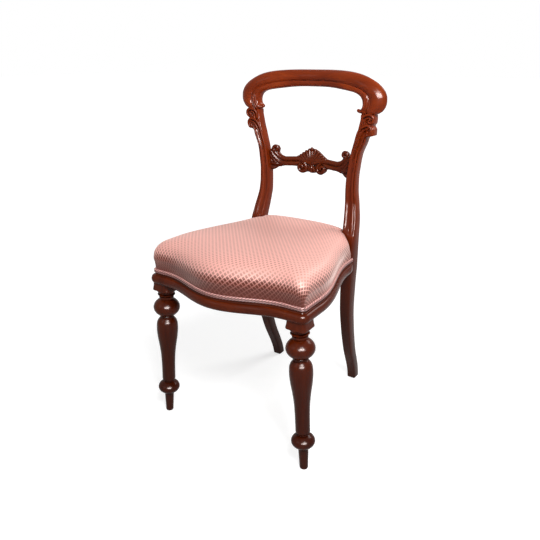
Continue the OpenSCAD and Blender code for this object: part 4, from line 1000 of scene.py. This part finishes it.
# The cover settles from the first height above the pad's bottom, fully from the second, and by
# this share of what is open below it, which counts up to a limit
SETTLE_FROM, SETTLE_FULL, SETTLE_MOST, SETTLE_SHARE = 8, 40, 2.5, 0.8


def settled(rings, pad):
    """Lets the cover sink to the pad where the pad has not filled it."""
    tree = BVHTree.FromPolygons([Vector(p) for p in points_of(pad)],
                                [list(p.vertices) for p in pad.data.polygons])
    low = PAD_BOTTOM + SETTLE_FROM
    gap = np.zeros(rings.shape[:2])
    for i, j in zip(*np.nonzero(rings[..., 2] > low)):
        gap[i, j] = tree.find_nearest(Vector(rings[i, j]))[3]
    gap = np.clip(gap - COVER_T - CLOTH_GAP, 0, SETTLE_MOST)
    gap = gap * smooth_step(rings[..., 2], low, PAD_BOTTOM + SETTLE_FULL)
    for _ in range(8):
        gap = evened(rounded(gap, 1, 1), 1)
    across = np.roll(rings, -1, 1) - np.roll(rings, 1, 1)
    along = np.gradient(rings, axis=0)
    return rings - unit(np.cross(across, along)) * gap[..., None] * SETTLE_SHARE


# Pleats at a front corner, how far inside it their middle lies, and how far they reach from there
TUCKS, TUCK_IN, TUCK_REACH = 5, 9, 17


def tucked(rings, normals):
    """Small pleats that gather the cover round the two front corners."""
    angle = np.arctan2(np.abs(normals[..., 0]), -normals[..., 1])
    x, y, z = rings[..., 0], rings[..., 1], rings[..., 2]
    away = (np.abs(x) - SIDE_LINE + TUCK_IN)**2 + (y - FRONT_LINE - TUCK_IN)**2
    near = np.exp(-(away / TUCK_REACH**2)**1.5)
    low = 1 - smooth_step(z, SKIRT_BOTTOM + 18, SKIRT_BOTTOM + 58)
    push = near * low * (0.4 * np.cos(4 * TUCKS * angle) - 0.1)
    out = rings.copy()
    out[..., :2] += normals * push[..., None]
    return out


def thickened(piece, thickness, offset):
    """Makes a surface into a thin sheet, and returns the surface's area."""
    area = sum(p.area for p in piece.data.polygons)
    shell = piece.modifiers.new("thickness", "SOLIDIFY")
    shell.thickness, shell.offset = thickness * MM, offset
    graph = bpy.context.evaluated_depsgraph_get()
    mesh = bpy.data.meshes.new_from_object(piece.evaluated_get(graph), depsgraph=graph)
    piece.modifiers.clear()
    old = piece.data
    piece.data = mesh
    bpy.data.meshes.remove(old)
    return area


# ---------------------------------------------------------------- piping
CORD_R, CORD_SIDES, CORD_STEP = PIPING_D / 2 - 0.12, 18, 0.75
UPWARD = np.array([0, 0, 1.0])
TWIST_PITCH = 7.5
CORD_OUT = SKIRT_OUT + CLOTH_GAP / 2 + PIPING_D / 2


def piping_path(z):
    x = np.linspace(0, BLOCK_IN, 300)[1:]
    share = np.linspace(0, 1, 60)
    y = np.linspace(BLOCK_BACK, LEG_FRONT - 0.05, 400)
    half = np.vstack([front_station(x), corner_station(share, CORNER_R), side_station(y)])
    line = np.vstack([half[::-1] * [-1, 1, -1, 1], front_station(np.array([0.0])), half])
    return out_at(line, CORD_OUT, z)


def resampled(line, step):
    length = np.concatenate([[0], np.cumsum(np.linalg.norm(np.diff(line, axis=0), axis=1))])
    at = np.linspace(0, length[-1], int(length[-1] / step) + 1)
    return np.column_stack([np.interp(at, length, line[:, k]) for k in range(3)]), at


def twisted_cord(line):
    """A two-ply cord along a level line, with its twist in its surface."""
    p, at = resampled(line, CORD_STEP)
    side = unit(np.cross(unit(np.gradient(p, axis=0)), UPWARD))
    a = 2 * np.pi * np.arange(CORD_SIDES) / CORD_SIDES
    wave = np.abs(np.cos(a[None] - np.pi * at[:, None] / TWIST_PITCH))
    radius = CORD_R * (0.8 + 0.2 * wave**0.7)
    ring = p[:, None] + radius[..., None] * (np.cos(a)[None, :, None] * side[:, None]
                                             + np.sin(a)[None, :, None] * UPWARD)
    weave = np.stack(np.broadcast_arrays(at[:, None], a[None] * CORD_R, wave), -1).reshape(-1, 3)
    return facing_out(swept(ring)), weave


# Painted shade on the lower cord, under the upper one: how bright it is beside the upper one
LOWER_CORD_PAINTED_SHADE = 0.42


def make_piping():
    parts, weave = [], []
    for level in (0, 1):
        z = SKIRT_BOTTOM + PIPING_D / 2 + level * (PIPING_D + 0.05)
        y = BACK_FACE + CLOTH_GAP / 2 + PIPING_D / 2
        back = np.array([[x, y, z] for x in np.linspace(-LEG_IN + 0.1, LEG_IN - 0.1, 40)])
        for line in (piping_path(z), back):
            part, w = twisted_cord(line)
            parts.append(part)
            weave.append(w * [1, 1, 1 if level else LOWER_CORD_PAINTED_SHADE])
    piping = new_piece("double_piping", *joined(parts), sharp=0)
    put_attribute(piping, "cord", np.vstack(weave) * [MM, MM, 1])
    return piping


# ---------------------------------------------------------------- webbing and hessian
WEB_W, WEB_X, WEB_Y = 50, 64, 70
LAP = 0.05
LIFT = WEB_T + LAP
WEB_MIDDLE = mix(BLOCK_BACK, LEG_FRONT, 0.48)
LONG_X = [(i - 1.5) * WEB_X for i in range(4)]
CROSS_Y = [WEB_MIDDLE + (i - 1.5) * WEB_Y for i in range(4)]
RAIL_MID = REBATE + RAIL_THICK / 2


def strip_height(at, crossings, pitch):
    """Height of a strip above the rails: it climbs over the strips that it passes on top of."""
    half = WEB_W / 2 + LAP
    climb = (pitch - WEB_W) * 0.4
    high = np.zeros(len(at))
    for c in crossings:
        high = np.maximum(high, 1 - smooth_step(np.abs(at - c), half, half + climb))
    return high * LIFT


def strip(start, end, middle, crossings, pitch, turn):
    """A webbing strip from a start to an end: a thin band whose edges curl a little."""
    at = np.linspace(start, end, 180)
    across = np.linspace(-0.5, 0.5, 21)
    z = RAIL_TOP + strip_height(at, crossings, pitch)
    edge = np.clip((np.abs(across) - 0.46) / 0.04, 0, 1)
    top = WEB_T * (1 - 0.35 * edge**2)
    low = WEB_T * 0.2 * edge**2
    v = np.concatenate([across, across[::-1]])
    h = np.concatenate([low, top[::-1]])
    rings = np.empty((len(at), len(v), 3))
    rings[..., 0] = at[:, None] if turn else middle + v * WEB_W
    rings[..., 1] = middle + v * WEB_W if turn else at[:, None]
    rings[..., 2] = z[:, None] + h
    weave = np.stack(np.broadcast_arrays(at[:, None], v[None] * WEB_W, 0.0), -1).reshape(-1, 3)
    return facing_out(swept(rings)), weave


def over(places, first):
    return [p for i, p in enumerate(places) if i % 2 == first]


def make_webbing():
    """The eight strips, each a piece of its own, woven over and under each other."""
    rear = BACK_RAIL_REAR - RAIL_THICK / 2
    made = []
    for i in range(4):
        front = front_station(np.array(abs(LONG_X[i])))[1] + RAIL_MID
        side = side_station(np.array(CROSS_Y[i]))[0] - RAIL_MID
        strips = (("long", strip(front, rear, LONG_X[i], over(CROSS_Y, i % 2), WEB_Y, False)),
                  ("cross", strip(-side, side, CROSS_Y[i], over(LONG_X, (i + 1) % 2), WEB_X, True)))
        for way, (part, weave) in strips:
            piece = new_piece(f"web_{way}_{i + 1}", *part, sharp=50)
            put_attribute(piece, "cloth", weave * MM)
            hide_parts(f"webbing_{way}_{i + 1}")
            made.append(piece)
    return made


def make_hessian():
    """The coarse sheet over the webbing, which sags a little between the strips."""
    ring = seat_ring(0.0, HESSIAN_INSET)[0][:, :2]
    centre = ring.mean(0)
    shares = np.linspace(0.02, 1, 44)
    grid = centre + (ring - centre) * shares[:, None, None]
    wave = np.cos(grid[..., 0] * 2 * np.pi / WEB_X) * np.cos((grid[..., 1] - WEB_MIDDLE) * 2 * np.pi / WEB_Y)
    sag = HESSIAN_SAG * (wave - 1) / 2 * (shares[:, None] < 0.93)
    rings = np.dstack([grid, HESSIAN_TOP - HESSIAN_ROOM + HESSIAN_T / 2 + sag])
    rows, columns = rings.shape[:2]
    faces = grid_faces(rows, columns)
    faces += [[(i + 1) % columns, i, rows * columns] for i in range(columns)]
    points = np.vstack([rings.reshape(-1, 3), [[centre[0], centre[1], rings[0, :, 2].mean()]]])
    sheet = new_piece("hessian_sheet", points, faces, sharp=0)
    put_attribute(sheet, "cloth", points * MM)
    return sheet, np.ptp(ring, axis=0) * MM, thickened(sheet, HESSIAN_T, 0)


# ---------------------------------------------------------------- materials
class Value:
    """A node's output, which adds, subtracts, multiplies and divides as a number does."""

    def __init__(self, socket):
        self.socket = socket

    def __add__(self, other):
        return calc("ADD", self, other)

    def __sub__(self, other):
        return calc("SUBTRACT", self, other)

    def __rsub__(self, other):
        return calc("SUBTRACT", other, self)

    def __mul__(self, other):
        return calc("MULTIPLY", self, other)

    def __truediv__(self, other):
        return calc("DIVIDE", self, other)


def tree_of(*values):
    return next(v.socket.id_data for v in values if isinstance(v, Value))


def give(socket, value):
    """Links an input to another node's output, or sets it to a number, a vector or a colour."""
    if isinstance(value, Value):
        socket.id_data.links.new(value.socket, socket)
    else:
        socket.default_value = (*value, 1) if socket.type == "RGBA" else value


def new_node(tree, kind, inputs=None, **settings):
    node = tree.nodes.new(kind)
    for key, value in settings.items():
        setattr(node, key, value)
    for key, value in (inputs or {}).items():
        give(node.inputs[key], value)
    return node


def get(tree, kind, inputs=None, output=0, **settings):
    return Value(new_node(tree, kind, inputs, **settings).outputs[output])


def calc(operation, a, b=0.0):
    return get(tree_of(a, b), "ShaderNodeMath", {0: a, 1: b}, operation=operation)


def read(tree, name, output="Vector"):
    return get(tree, "ShaderNodeAttribute", output=output, attribute_name=name)


def object_place(tree):
    return get(tree, "ShaderNodeTexCoord", output="Object")


def split(vector):
    """The x, y and z of a vector."""
    return [Value(o) for o in new_node(tree_of(vector), "ShaderNodeSeparateXYZ", {"Vector": vector}).outputs]


def scaled(vector, scale):
    return get(tree_of(vector), "ShaderNodeMapping", {"Vector": vector, "Scale": scale})


def noise(vector, scale, detail=3.0, roughness=0.5, distortion=0.0):
    return get(tree_of(vector), "ShaderNodeTexNoise", {"Vector": vector, "Scale": scale, "Detail": detail,
                                                       "Roughness": roughness, "Distortion": distortion})


def ramp(value, stops):
    """Colours by a value: stops are place and colour."""
    node = new_node(tree_of(value), "ShaderNodeValToRGB", {"Fac": value})
    elements = node.color_ramp.elements
    while len(elements) < len(stops):
        elements.new(0.5)
    for element, (place, colour) in zip(elements, stops):
        element.position = place
        element.color = (*colour, 1)
    return Value(node.outputs["Color"])


def between(value, low, high, to_low=0.0, to_high=1.0):
    """0 to 1, or other ends, as the value goes smoothly from low to high."""
    return get(tree_of(value), "ShaderNodeMapRange",
               {"Value": value, "From Min": low, "From Max": high, "To Min": to_low, "To Max": to_high},
               interpolation_type="SMOOTHSTEP")


def mixed(share, a, b, kind="MIX"):
    """A colour with a share of another one. Sockets 6 and 7 and output 2 are the colour ones."""
    return get(tree_of(share, a, b), "ShaderNodeMix", {"Factor": share, 6: a, 7: b}, 2,
               data_type="RGBA", blend_type=kind)


def new_material(name):
    material = bpy.data.materials.new(name)
    material.use_nodes = True
    return material, material.node_tree, material.node_tree.nodes["Principled BSDF"]


def set_inputs(shader, **values):
    for key, value in values.items():
        give(shader.inputs[key.replace("_", " ")], value)


def bump(shader, height, distance, strength):
    set_inputs(shader, Normal=get(tree_of(height), "ShaderNodeBump",
                                  {"Height": height, "Distance": distance, "Strength": strength}))


WOOD_DARK, WOOD_MID, WOOD_LIGHT = (0.100, 0.0105, 0.0018), (0.210, 0.0260, 0.0028), (0.33, 0.053, 0.0056)
WOOD_CREASE_POLISH_AND_SHADE = (0.026, 0.003, 0.001)
WOOD_WORN = (0.46, 0.095, 0.014)
# Factors on the wood colour: darker on the carved cross rail and a little darker on the carved heads; on the
# far front leg the factor is painted shade
CARVING_TONE, LEAF_TONE, FAR_LEG_PAINTED_SHADE = 0.5, 0.9, 0.75


def mahogany(name, coat, haze):
    """French polished mahogany: ribboned figure, short pores, dark creases that are partly polish build-up
    and partly painted shade, lighter worn edges, and painted shade by height.
    """
    material, tree, shader = new_material(name)
    grain = read(tree, "grain")
    ribbon = noise(scaled(grain, (40, 14, 12)), 1.0, 5, 0.55, 0.6)
    broad = noise(grain, 9.0, 2, 0.5)
    fine = noise(scaled(grain, (420, 420, 160)), 1.0, 3, 0.6)
    pore = between(noise(scaled(grain, (1500, 1500, 420)), 1.0, 2, 0.5), 0.62, 0.72)
    hollow = read(tree, "hollow", "Fac")
    crease = between(hollow, 0.02, 0.18) * 0.8
    worn = between(hollow, -0.05, -0.3) * between(broad, 0.42, 0.62) * 0.25
    shade_and_tone = read(tree, "shade_and_tone", "Fac")
    colour = ramp(ribbon * 0.62 + broad * 0.38, [(0.27, WOOD_DARK), (0.5, WOOD_MID), (0.76, WOOD_LIGHT)])
    colour = mixed(between(fine, 0.45, 0.75) * 0.28, colour, WOOD_DARK)
    colour = mixed(pore * 0.55, colour, WOOD_DARK)
    # Creases are darkened, partly as polish build-up in them and partly as painted shade
    colour = mixed(crease, colour, WOOD_CREASE_POLISH_AND_SHADE)
    colour = mixed(worn, colour, WOOD_WORN)
    # Painted shade: the colour is multiplied by the shade and tone each piece carries, darker towards the
    # floor
    colour = mixed(1.0, colour, get(tree, "ShaderNodeCombineXYZ", {0: shade_and_tone, 1: shade_and_tone, 2: shade_and_tone}), "MULTIPLY")
    bump(shader, ribbon * 0.5 - pore * 0.3, 0.0002, 0.2)
    set_inputs(shader, Base_Color=colour, Roughness=fine * 0.1 + crease * 0.16 + 0.22,
               IOR=1.5, Specular_IOR_Level=0.03, Specular_Tint=(1.0, 0.66, 0.52),
               Coat_Weight=coat, Coat_Roughness=haze, Coat_IOR=2.0)
    return material


def beech():
    """Plain inner wood of the corner blocks and dowels, a little dusty."""
    material, tree, shader = new_material("beech_inner")
    place = object_place(tree)
    rings = noise(scaled(place, (90, 16, 90)), 1.0, 5, 0.6, 0.8)
    fleck = noise(scaled(place, (900, 260, 900)), 1.0, 2)
    dust = noise(place, 30.0, 4)
    colour = ramp(rings, [(0.3, (0.30, 0.17, 0.075)), (0.5, (0.46, 0.29, 0.145)), (0.72, (0.56, 0.38, 0.2))])
    colour = mixed(between(fleck, 0.58, 0.7) * 0.4, colour, (0.2, 0.1, 0.04))
    colour = mixed(between(dust, 0.45, 0.7) * 0.25, colour, (0.35, 0.3, 0.24))
    bump(shader, rings + fleck, 0.0003, 0.4)
    set_inputs(shader, Base_Color=colour, Roughness=between(rings, 0.2, 0.8, 0.55, 0.72))
    return material


def steel():
    """Old steel of the screws and tacks: grey, with brown rust in patches."""
    material, tree, shader = new_material("steel_aged")
    place = object_place(tree)
    patch = noise(place, 220.0, 5, 0.65)
    rust = between(patch, 0.5, 0.62)
    bump(shader, patch + noise(place, 1800.0, 2) * 0.4, 0.0002, 0.5)
    set_inputs(shader, Base_Color=mixed(rust, (0.33, 0.33, 0.34), (0.11, 0.045, 0.02)),
               Metallic=0.95 - rust * 0.8, Roughness=rust * 0.4 + 0.28)
    return material


SATIN, SATIN_LIGHT = (0.80, 0.385, 0.33), (0.88, 0.52, 0.455)
# Painted shade on the satin where it turns down at the front, and darker painted shade near the piping
SATIN_SHADE, SATIN_LOW_PAINTED_SHADE = (0.44, 0.155, 0.122), (0.10, 0.026, 0.019)
LOW_FROM, LOW_TO = 0.456, 0.422
DOT, DOT_DARK = (0.150, 0.034, 0.022), (0.080, 0.014, 0.008)
DOT_X, DOT_Y = 0.0106, 0.0130
# Size of the dots at the sides, and smaller as painted sheen where the cloth faces up, and how soft their
# edges are
DOT_EDGE, DOT_EDGE_UNDER_PAINTED_SHEEN, DOT_SOFT = 0.39, 0.28, 0.05
# Painted sheen: how much of the dots shows by how far the cloth faces up, faded where the satin's sheen would
# wash over them on the roll and the top
DOTS_LEFT_UNDER_PAINTED_SHEEN = [(0.0, 0.95), (0.2, 0.78), (0.45, 0.45), (0.84, 0.24), (0.97, 0.4)]


def satin():
    """Pink satin with a staggered pattern of matt dark lozenges between pale lines, and its warp threads."""
    material, tree, shader = new_material("satin_dotted")
    place = read(tree, "cloth")
    u, v, _ = split(place)
    a, b = u / DOT_X, v / DOT_Y
    p, q = [calc("ABSOLUTE", value - calc("ROUND", value)) for value in (a + b, a - b)]
    shape = calc("MAXIMUM", p, q) * 0.8 + calc("SQRT", p * p + q * q) * 0.2
    _, facing_y, up = split(get(tree, "ShaderNodeNewGeometry", output="Normal"))
    above_floor = split(get(tree, "ShaderNodeNewGeometry", output="Position"))[2]
    edge = between(up, 0.05, 0.95, DOT_EDGE, DOT_EDGE_UNDER_PAINTED_SHEEN)
    dot = between(shape - edge, DOT_SOFT, -DOT_SOFT)
    slub = noise(scaled(place, (2600, 160, 1)), 1.0, 2, 0.6)
    warp = get(tree, "ShaderNodeTexWave", {"Vector": scaled(place, (2300, 0, 0)), "Scale": 1.0,
                                           "Distortion": 0.0}, "Fac", wave_type="BANDS")
    shown = dot * ramp(up, [(at, (share,) * 3) for at, share in DOTS_LEFT_UNDER_PAINTED_SHEEN])
    # Painted shade on the cloth where it turns down, strongest where it faces the front and weaker on the
    # sides
    ahead = between(facing_y, -0.15, -0.75, 0.5, 1)
    ground = mixed(slub * 0.55, SATIN, SATIN_LIGHT)
    ground = mixed(between(up, 0.17, -0.05) * ahead, ground, SATIN_SHADE)
    colour = mixed(shown, ground, mixed(slub, DOT_DARK, DOT))
    # Painted shade low on the cover near the piping, under the roll, mostly at the front
    colour = mixed(between(above_floor, LOW_FROM, LOW_TO) * (ahead * 0.75), colour, SATIN_LOW_PAINTED_SHADE)
    bump(shader, warp * 0.12 - dot, 0.00015, 0.5)
    set_inputs(shader, Base_Color=colour, Roughness=dot * 0.1 + slub * 0.1 + 0.42,
               Metallic=between(dot, 0, 1, 0.04, 0.0),
               Sheen_Weight=0.6, Sheen_Roughness=0.4, Sheen_Tint=(1.0, 0.78, 0.72),
               Specular_IOR_Level=0.12, Specular_Tint=(1.0, 0.8, 0.74))
    return material


def cord_cloth():
    """Pink silk of the twisted piping, with painted shade between its plies and on the lower cord."""
    material, tree, shader = new_material("silk_cord")
    weave = read(tree, "cord")
    ply = between(split(weave)[2], 0.1, 0.95)
    slub = noise(scaled(weave, (300, 1400, 0)), 1.0, 3)
    # Painted shade: near black between the plies
    colour = mixed(ply, (0.11, 0.022, 0.018), mixed(slub, (0.58, 0.24, 0.21), (0.74, 0.38, 0.34)))
    bump(shader, slub, 0.0003, 0.6)
    set_inputs(shader, Base_Color=colour, Roughness=between(slub, 0.2, 0.8, 0.42, 0.6),
               Sheen_Weight=0.2, Sheen_Roughness=0.4, Sheen_Tint=(1.0, 0.7, 0.62))
    return material


def plain_weave(name, thread, dark, light, gap, stripe=None):
    """A plain weave of coarse threads, with painted shade between them. A stripe is the place across and the
    width and the colour.
    """
    material, tree, shader = new_material(name)
    place = read(tree, "cloth")
    wobble = noise(place, 140.0, 2) * 0.5
    along, across, _ = split(place)
    counts = [along / thread + wobble, across / thread + wobble]
    one, other = [calc("ABSOLUTE", calc("SINE", count * math.pi)) for count in counts]
    even = calc("PINGPONG", calc("FLOOR", counts[0]) + calc("FLOOR", counts[1]), 1.0)
    high = one * even + other * (1.0 - even)
    fibre = noise(place, 900.0, 4, 0.7)
    colour = mixed(fibre, dark, light)
    if stripe:
        middle, width, paint = stripe
        off = calc("ABSOLUTE", calc("ABSOLUTE", across) - middle)
        colour = mixed(between(off, width, width * 0.6) * 0.8, colour, paint)
    # Painted shade in the gaps between the threads
    colour = mixed(between(calc("MINIMUM", one, other), 0.0, gap), tuple(0.3 * c for c in dark), colour)
    bump(shader, high + fibre * 0.5, 0.0005, 0.7)
    set_inputs(shader, Base_Color=colour, Roughness=between(fibre, 0.3, 0.7, 0.8, 0.95),
               Sheen_Weight=0.25, Sheen_Roughness=0.6)
    return material


def felted_hair():
    """The muslin over the hair stuffing."""
    material, tree, shader = new_material("muslin_stuffing")
    place = object_place(tree)
    lumps = noise(place, 60.0, 4)
    thread = noise(scaled(place, (1800, 1800, 400)), 1.0, 2)
    bump(shader, lumps + thread, 0.0005, 0.6)
    set_inputs(shader, Base_Color=mixed(lumps, (0.46, 0.39, 0.29), (0.66, 0.59, 0.47)),
               Roughness=between(thread, 0.2, 0.8, 0.85, 0.97))
    return material


# ---------------------------------------------------------------- putting the chair together
def use(piece, material, slot, *nodes):
    """Gives a piece its material, sets it on the chair and hides the imported parts it stands for. The slot
    is not used.
    """
    piece.data.materials.clear()
    piece.data.materials.append(material)
    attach(piece, "root")
    if nodes:
        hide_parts(*nodes)
    return piece


wood, inner, metal = mahogany("mahogany_polished", 0.06, 0.2), beech(), steel()
carved_wood = mahogany("mahogany_carved", 0.045, 0.36)

for side_name, flip in (("right", False), ("left", True)):
    offset = (1.7, 0.4, 0.9) if flip else (0.3, 2.1, 0.2)
    for name, way, maker, along in (("front_leg", "turned", front_leg, "z"),
                                    ("rear_leg", "shaped", rear_leg, "z"),
                                    ("side_rail", "shaped", side_rail, "y")):
        part = facing_out(maker())
        part = facing_out(mirrored(part)) if flip else part
        # The far front leg gets painted shade
        shade_and_tone = FAR_LEG_PAINTED_SHADE if flip and maker is front_leg else 1.0
        piece = wooden(new_piece(f"{name}_{side_name}_{way}", *part), along, offset, shade_and_tone)
        use(piece, wood, "mahogany", f"{name}_{side_name}")
    for name, maker in (("leaf_scroll", leaf_scroll), ("crest_nib", crest_nib)):
        part = facing_out(mirrored(maker())) if flip else maker()
        piece = wooden(new_piece(f"{name}_{side_name}", *part, sharp=0), "z", offset, LEAF_TONE)
        use(piece, carved_wood, "mahogany")

for name, maker, nodes, sharp, shade_and_tone in (("crest_rail_shaped", crest_rail, "crest_rail", 40, 1),
                                        ("cross_rail_carved", cross_rail, "cross_rail", 0, CARVING_TONE),
                                        ("front_rail_shaped", front_rail, "front_rail", 40, 1),
                                        ("back_rail_eased", back_rail, "back_rail", 40, 1)):
    piece = wooden(new_piece(name, *maker(), sharp=sharp), "x", (0.9, 0.3, 1.4), shade_and_tone)
    use(piece, wood, "mahogany", nodes)

pad = make_pad()
cover, cloth_places, cover_area = make_cover(pad)
use(pad, felted_hair(), "stuffing", "seat_pad")
use(cover, satin(), "cover", "seat_cover")

use(make_piping(), cord_cloth(), "piping", "seat_piping")

jute = plain_weave("jute_webbing", 0.0016, (0.30, 0.19, 0.09), (0.52, 0.37, 0.2), 0.55,
                   (0.019, 0.0016, (0.20, 0.035, 0.02)))
for web in make_webbing():
    use(web, jute, "webbing")
hessian, hessian_flat, hessian_area = make_hessian()
use(hessian, plain_weave("hessian_cloth", 0.0022, (0.34, 0.23, 0.11), (0.56, 0.42, 0.23), 0.7), "hessian",
    "hessian")

for name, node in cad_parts.items():
    if node.hide_render:
        continue
    own = metal if name in ("corner_block_screws", "webbing_tacks") else inner
    for place in node.material_slots:
        place.material = own


# ---------------------------------------------------------------- room, lights and camera
FLOOR_HALF = 30.0
FLOOR_GREY, FLOOR_GREY_LIGHT = (0.47, 0.47, 0.47), (0.49, 0.49, 0.49)
# How bright the floor shows near the chair, where its shadow lies. It is white from FLOOR_FAR on, in metres
FLOOR_LIFT, FLOOR_NEAR, FLOOR_FAR = 0.68, 0.9, 3.2
WORLD_FILL = 0.2
# Lamps: place, aim, width, height, watts, and whether it lights plain surfaces as well as shining in polish
LAMPS = [
    ("key", (1.4, -1.3, 2.3), (0.0, 0.0, 0.55), 0.7, 0.7, 66, True),
    ("window", (1.5, -1.8, 1.76), (0.0, 0.0, 0.5), 1.8, 0.8, 460, False),
    ("fill", (-1.2, -2.2, 1.9), (0.0, 0.0, 0.5), 1.0, 1.0, 6, True),
    ("back", (0.9, 2.2, 2.2), (0.0, 0.0, 0.6), 1.4, 0.8, 45, True),
]
# The photograph's camera, as fitted: its place, how far it looks down and turns, and its lens
EYE, EYE_DOWN, EYE_TURN, LENS = (0.72499773, -1.10764519, 0.89515512), 20.7880, 33.4306, 36.8696


def shown_rays(tree):
    """1 for the rays that show the background: camera, glossy and transmission ones."""
    seen, glossy, through = [get(tree, "ShaderNodeLightPath", output=f"Is {ray} Ray")
                             for ray in ("Camera", "Glossy", "Transmission")]
    return calc("MAXIMUM", seen, calc("MAXIMUM", glossy, through))


def room():
    """A pale floor and a white surround."""
    mesh = bpy.data.meshes.new("floor")
    corners = [(x * FLOOR_HALF, y * FLOOR_HALF, 0) for x, y in ((-1, -1), (1, -1), (1, 1), (-1, 1))]
    mesh.from_pydata(corners, [], [(0, 1, 2, 3)])
    floor = placed("floor", mesh)
    material, tree, shader = new_material("floor_pale")
    place = object_place(tree)
    away = get(tree, "ShaderNodeVectorMath", {0: place}, "Value", operation="LENGTH")
    lift = between(away, FLOOR_NEAR, FLOOR_FAR, FLOOR_LIFT, 1.0)
    set_inputs(shader, Base_Color=mixed(noise(place, 60.0, 3), FLOOR_GREY, FLOOR_GREY_LIGHT), Roughness=0.9,
               Specular_IOR_Level=0.1, Emission_Strength=shown_rays(tree) * lift, Emission_Color=(1, 1, 1))
    mesh.materials.append(material)
    world = bpy.data.worlds.new("studio")
    bpy.context.scene.world = world
    world.use_nodes = True
    tree = world.node_tree
    set_inputs(tree.nodes["Background"], Color=(1, 1, 1),
               Strength=shown_rays(tree) * (1 - WORLD_FILL) + WORLD_FILL)


def lamps():
    for name, place, aim, width, height, watts, plain in LAMPS:
        light = bpy.data.lights.new(name, "AREA")
        light.shape, light.size, light.size_y, light.energy = "RECTANGLE", width, height, watts
        lamp = placed(name, light)
        lamp.location = place
        lamp.rotation_euler = (Vector(aim) - Vector(place)).to_track_quat("-Z", "Y").to_euler()
        lamp.visible_diffuse = plain


def camera():
    """The photograph's view."""
    data = bpy.data.cameras.new("view")
    data.lens, data.sensor_width = LENS, 36
    data.clip_start, data.clip_end = 0.05, 60
    eye = placed("view", data)
    eye.location = EYE
    eye.rotation_euler = (math.radians(90 - EYE_DOWN), 0, math.radians(EYE_TURN))
    bpy.context.scene.camera = eye


room()
lamps()
camera()
bpy.context.scene.view_settings.view_transform = "Standard"
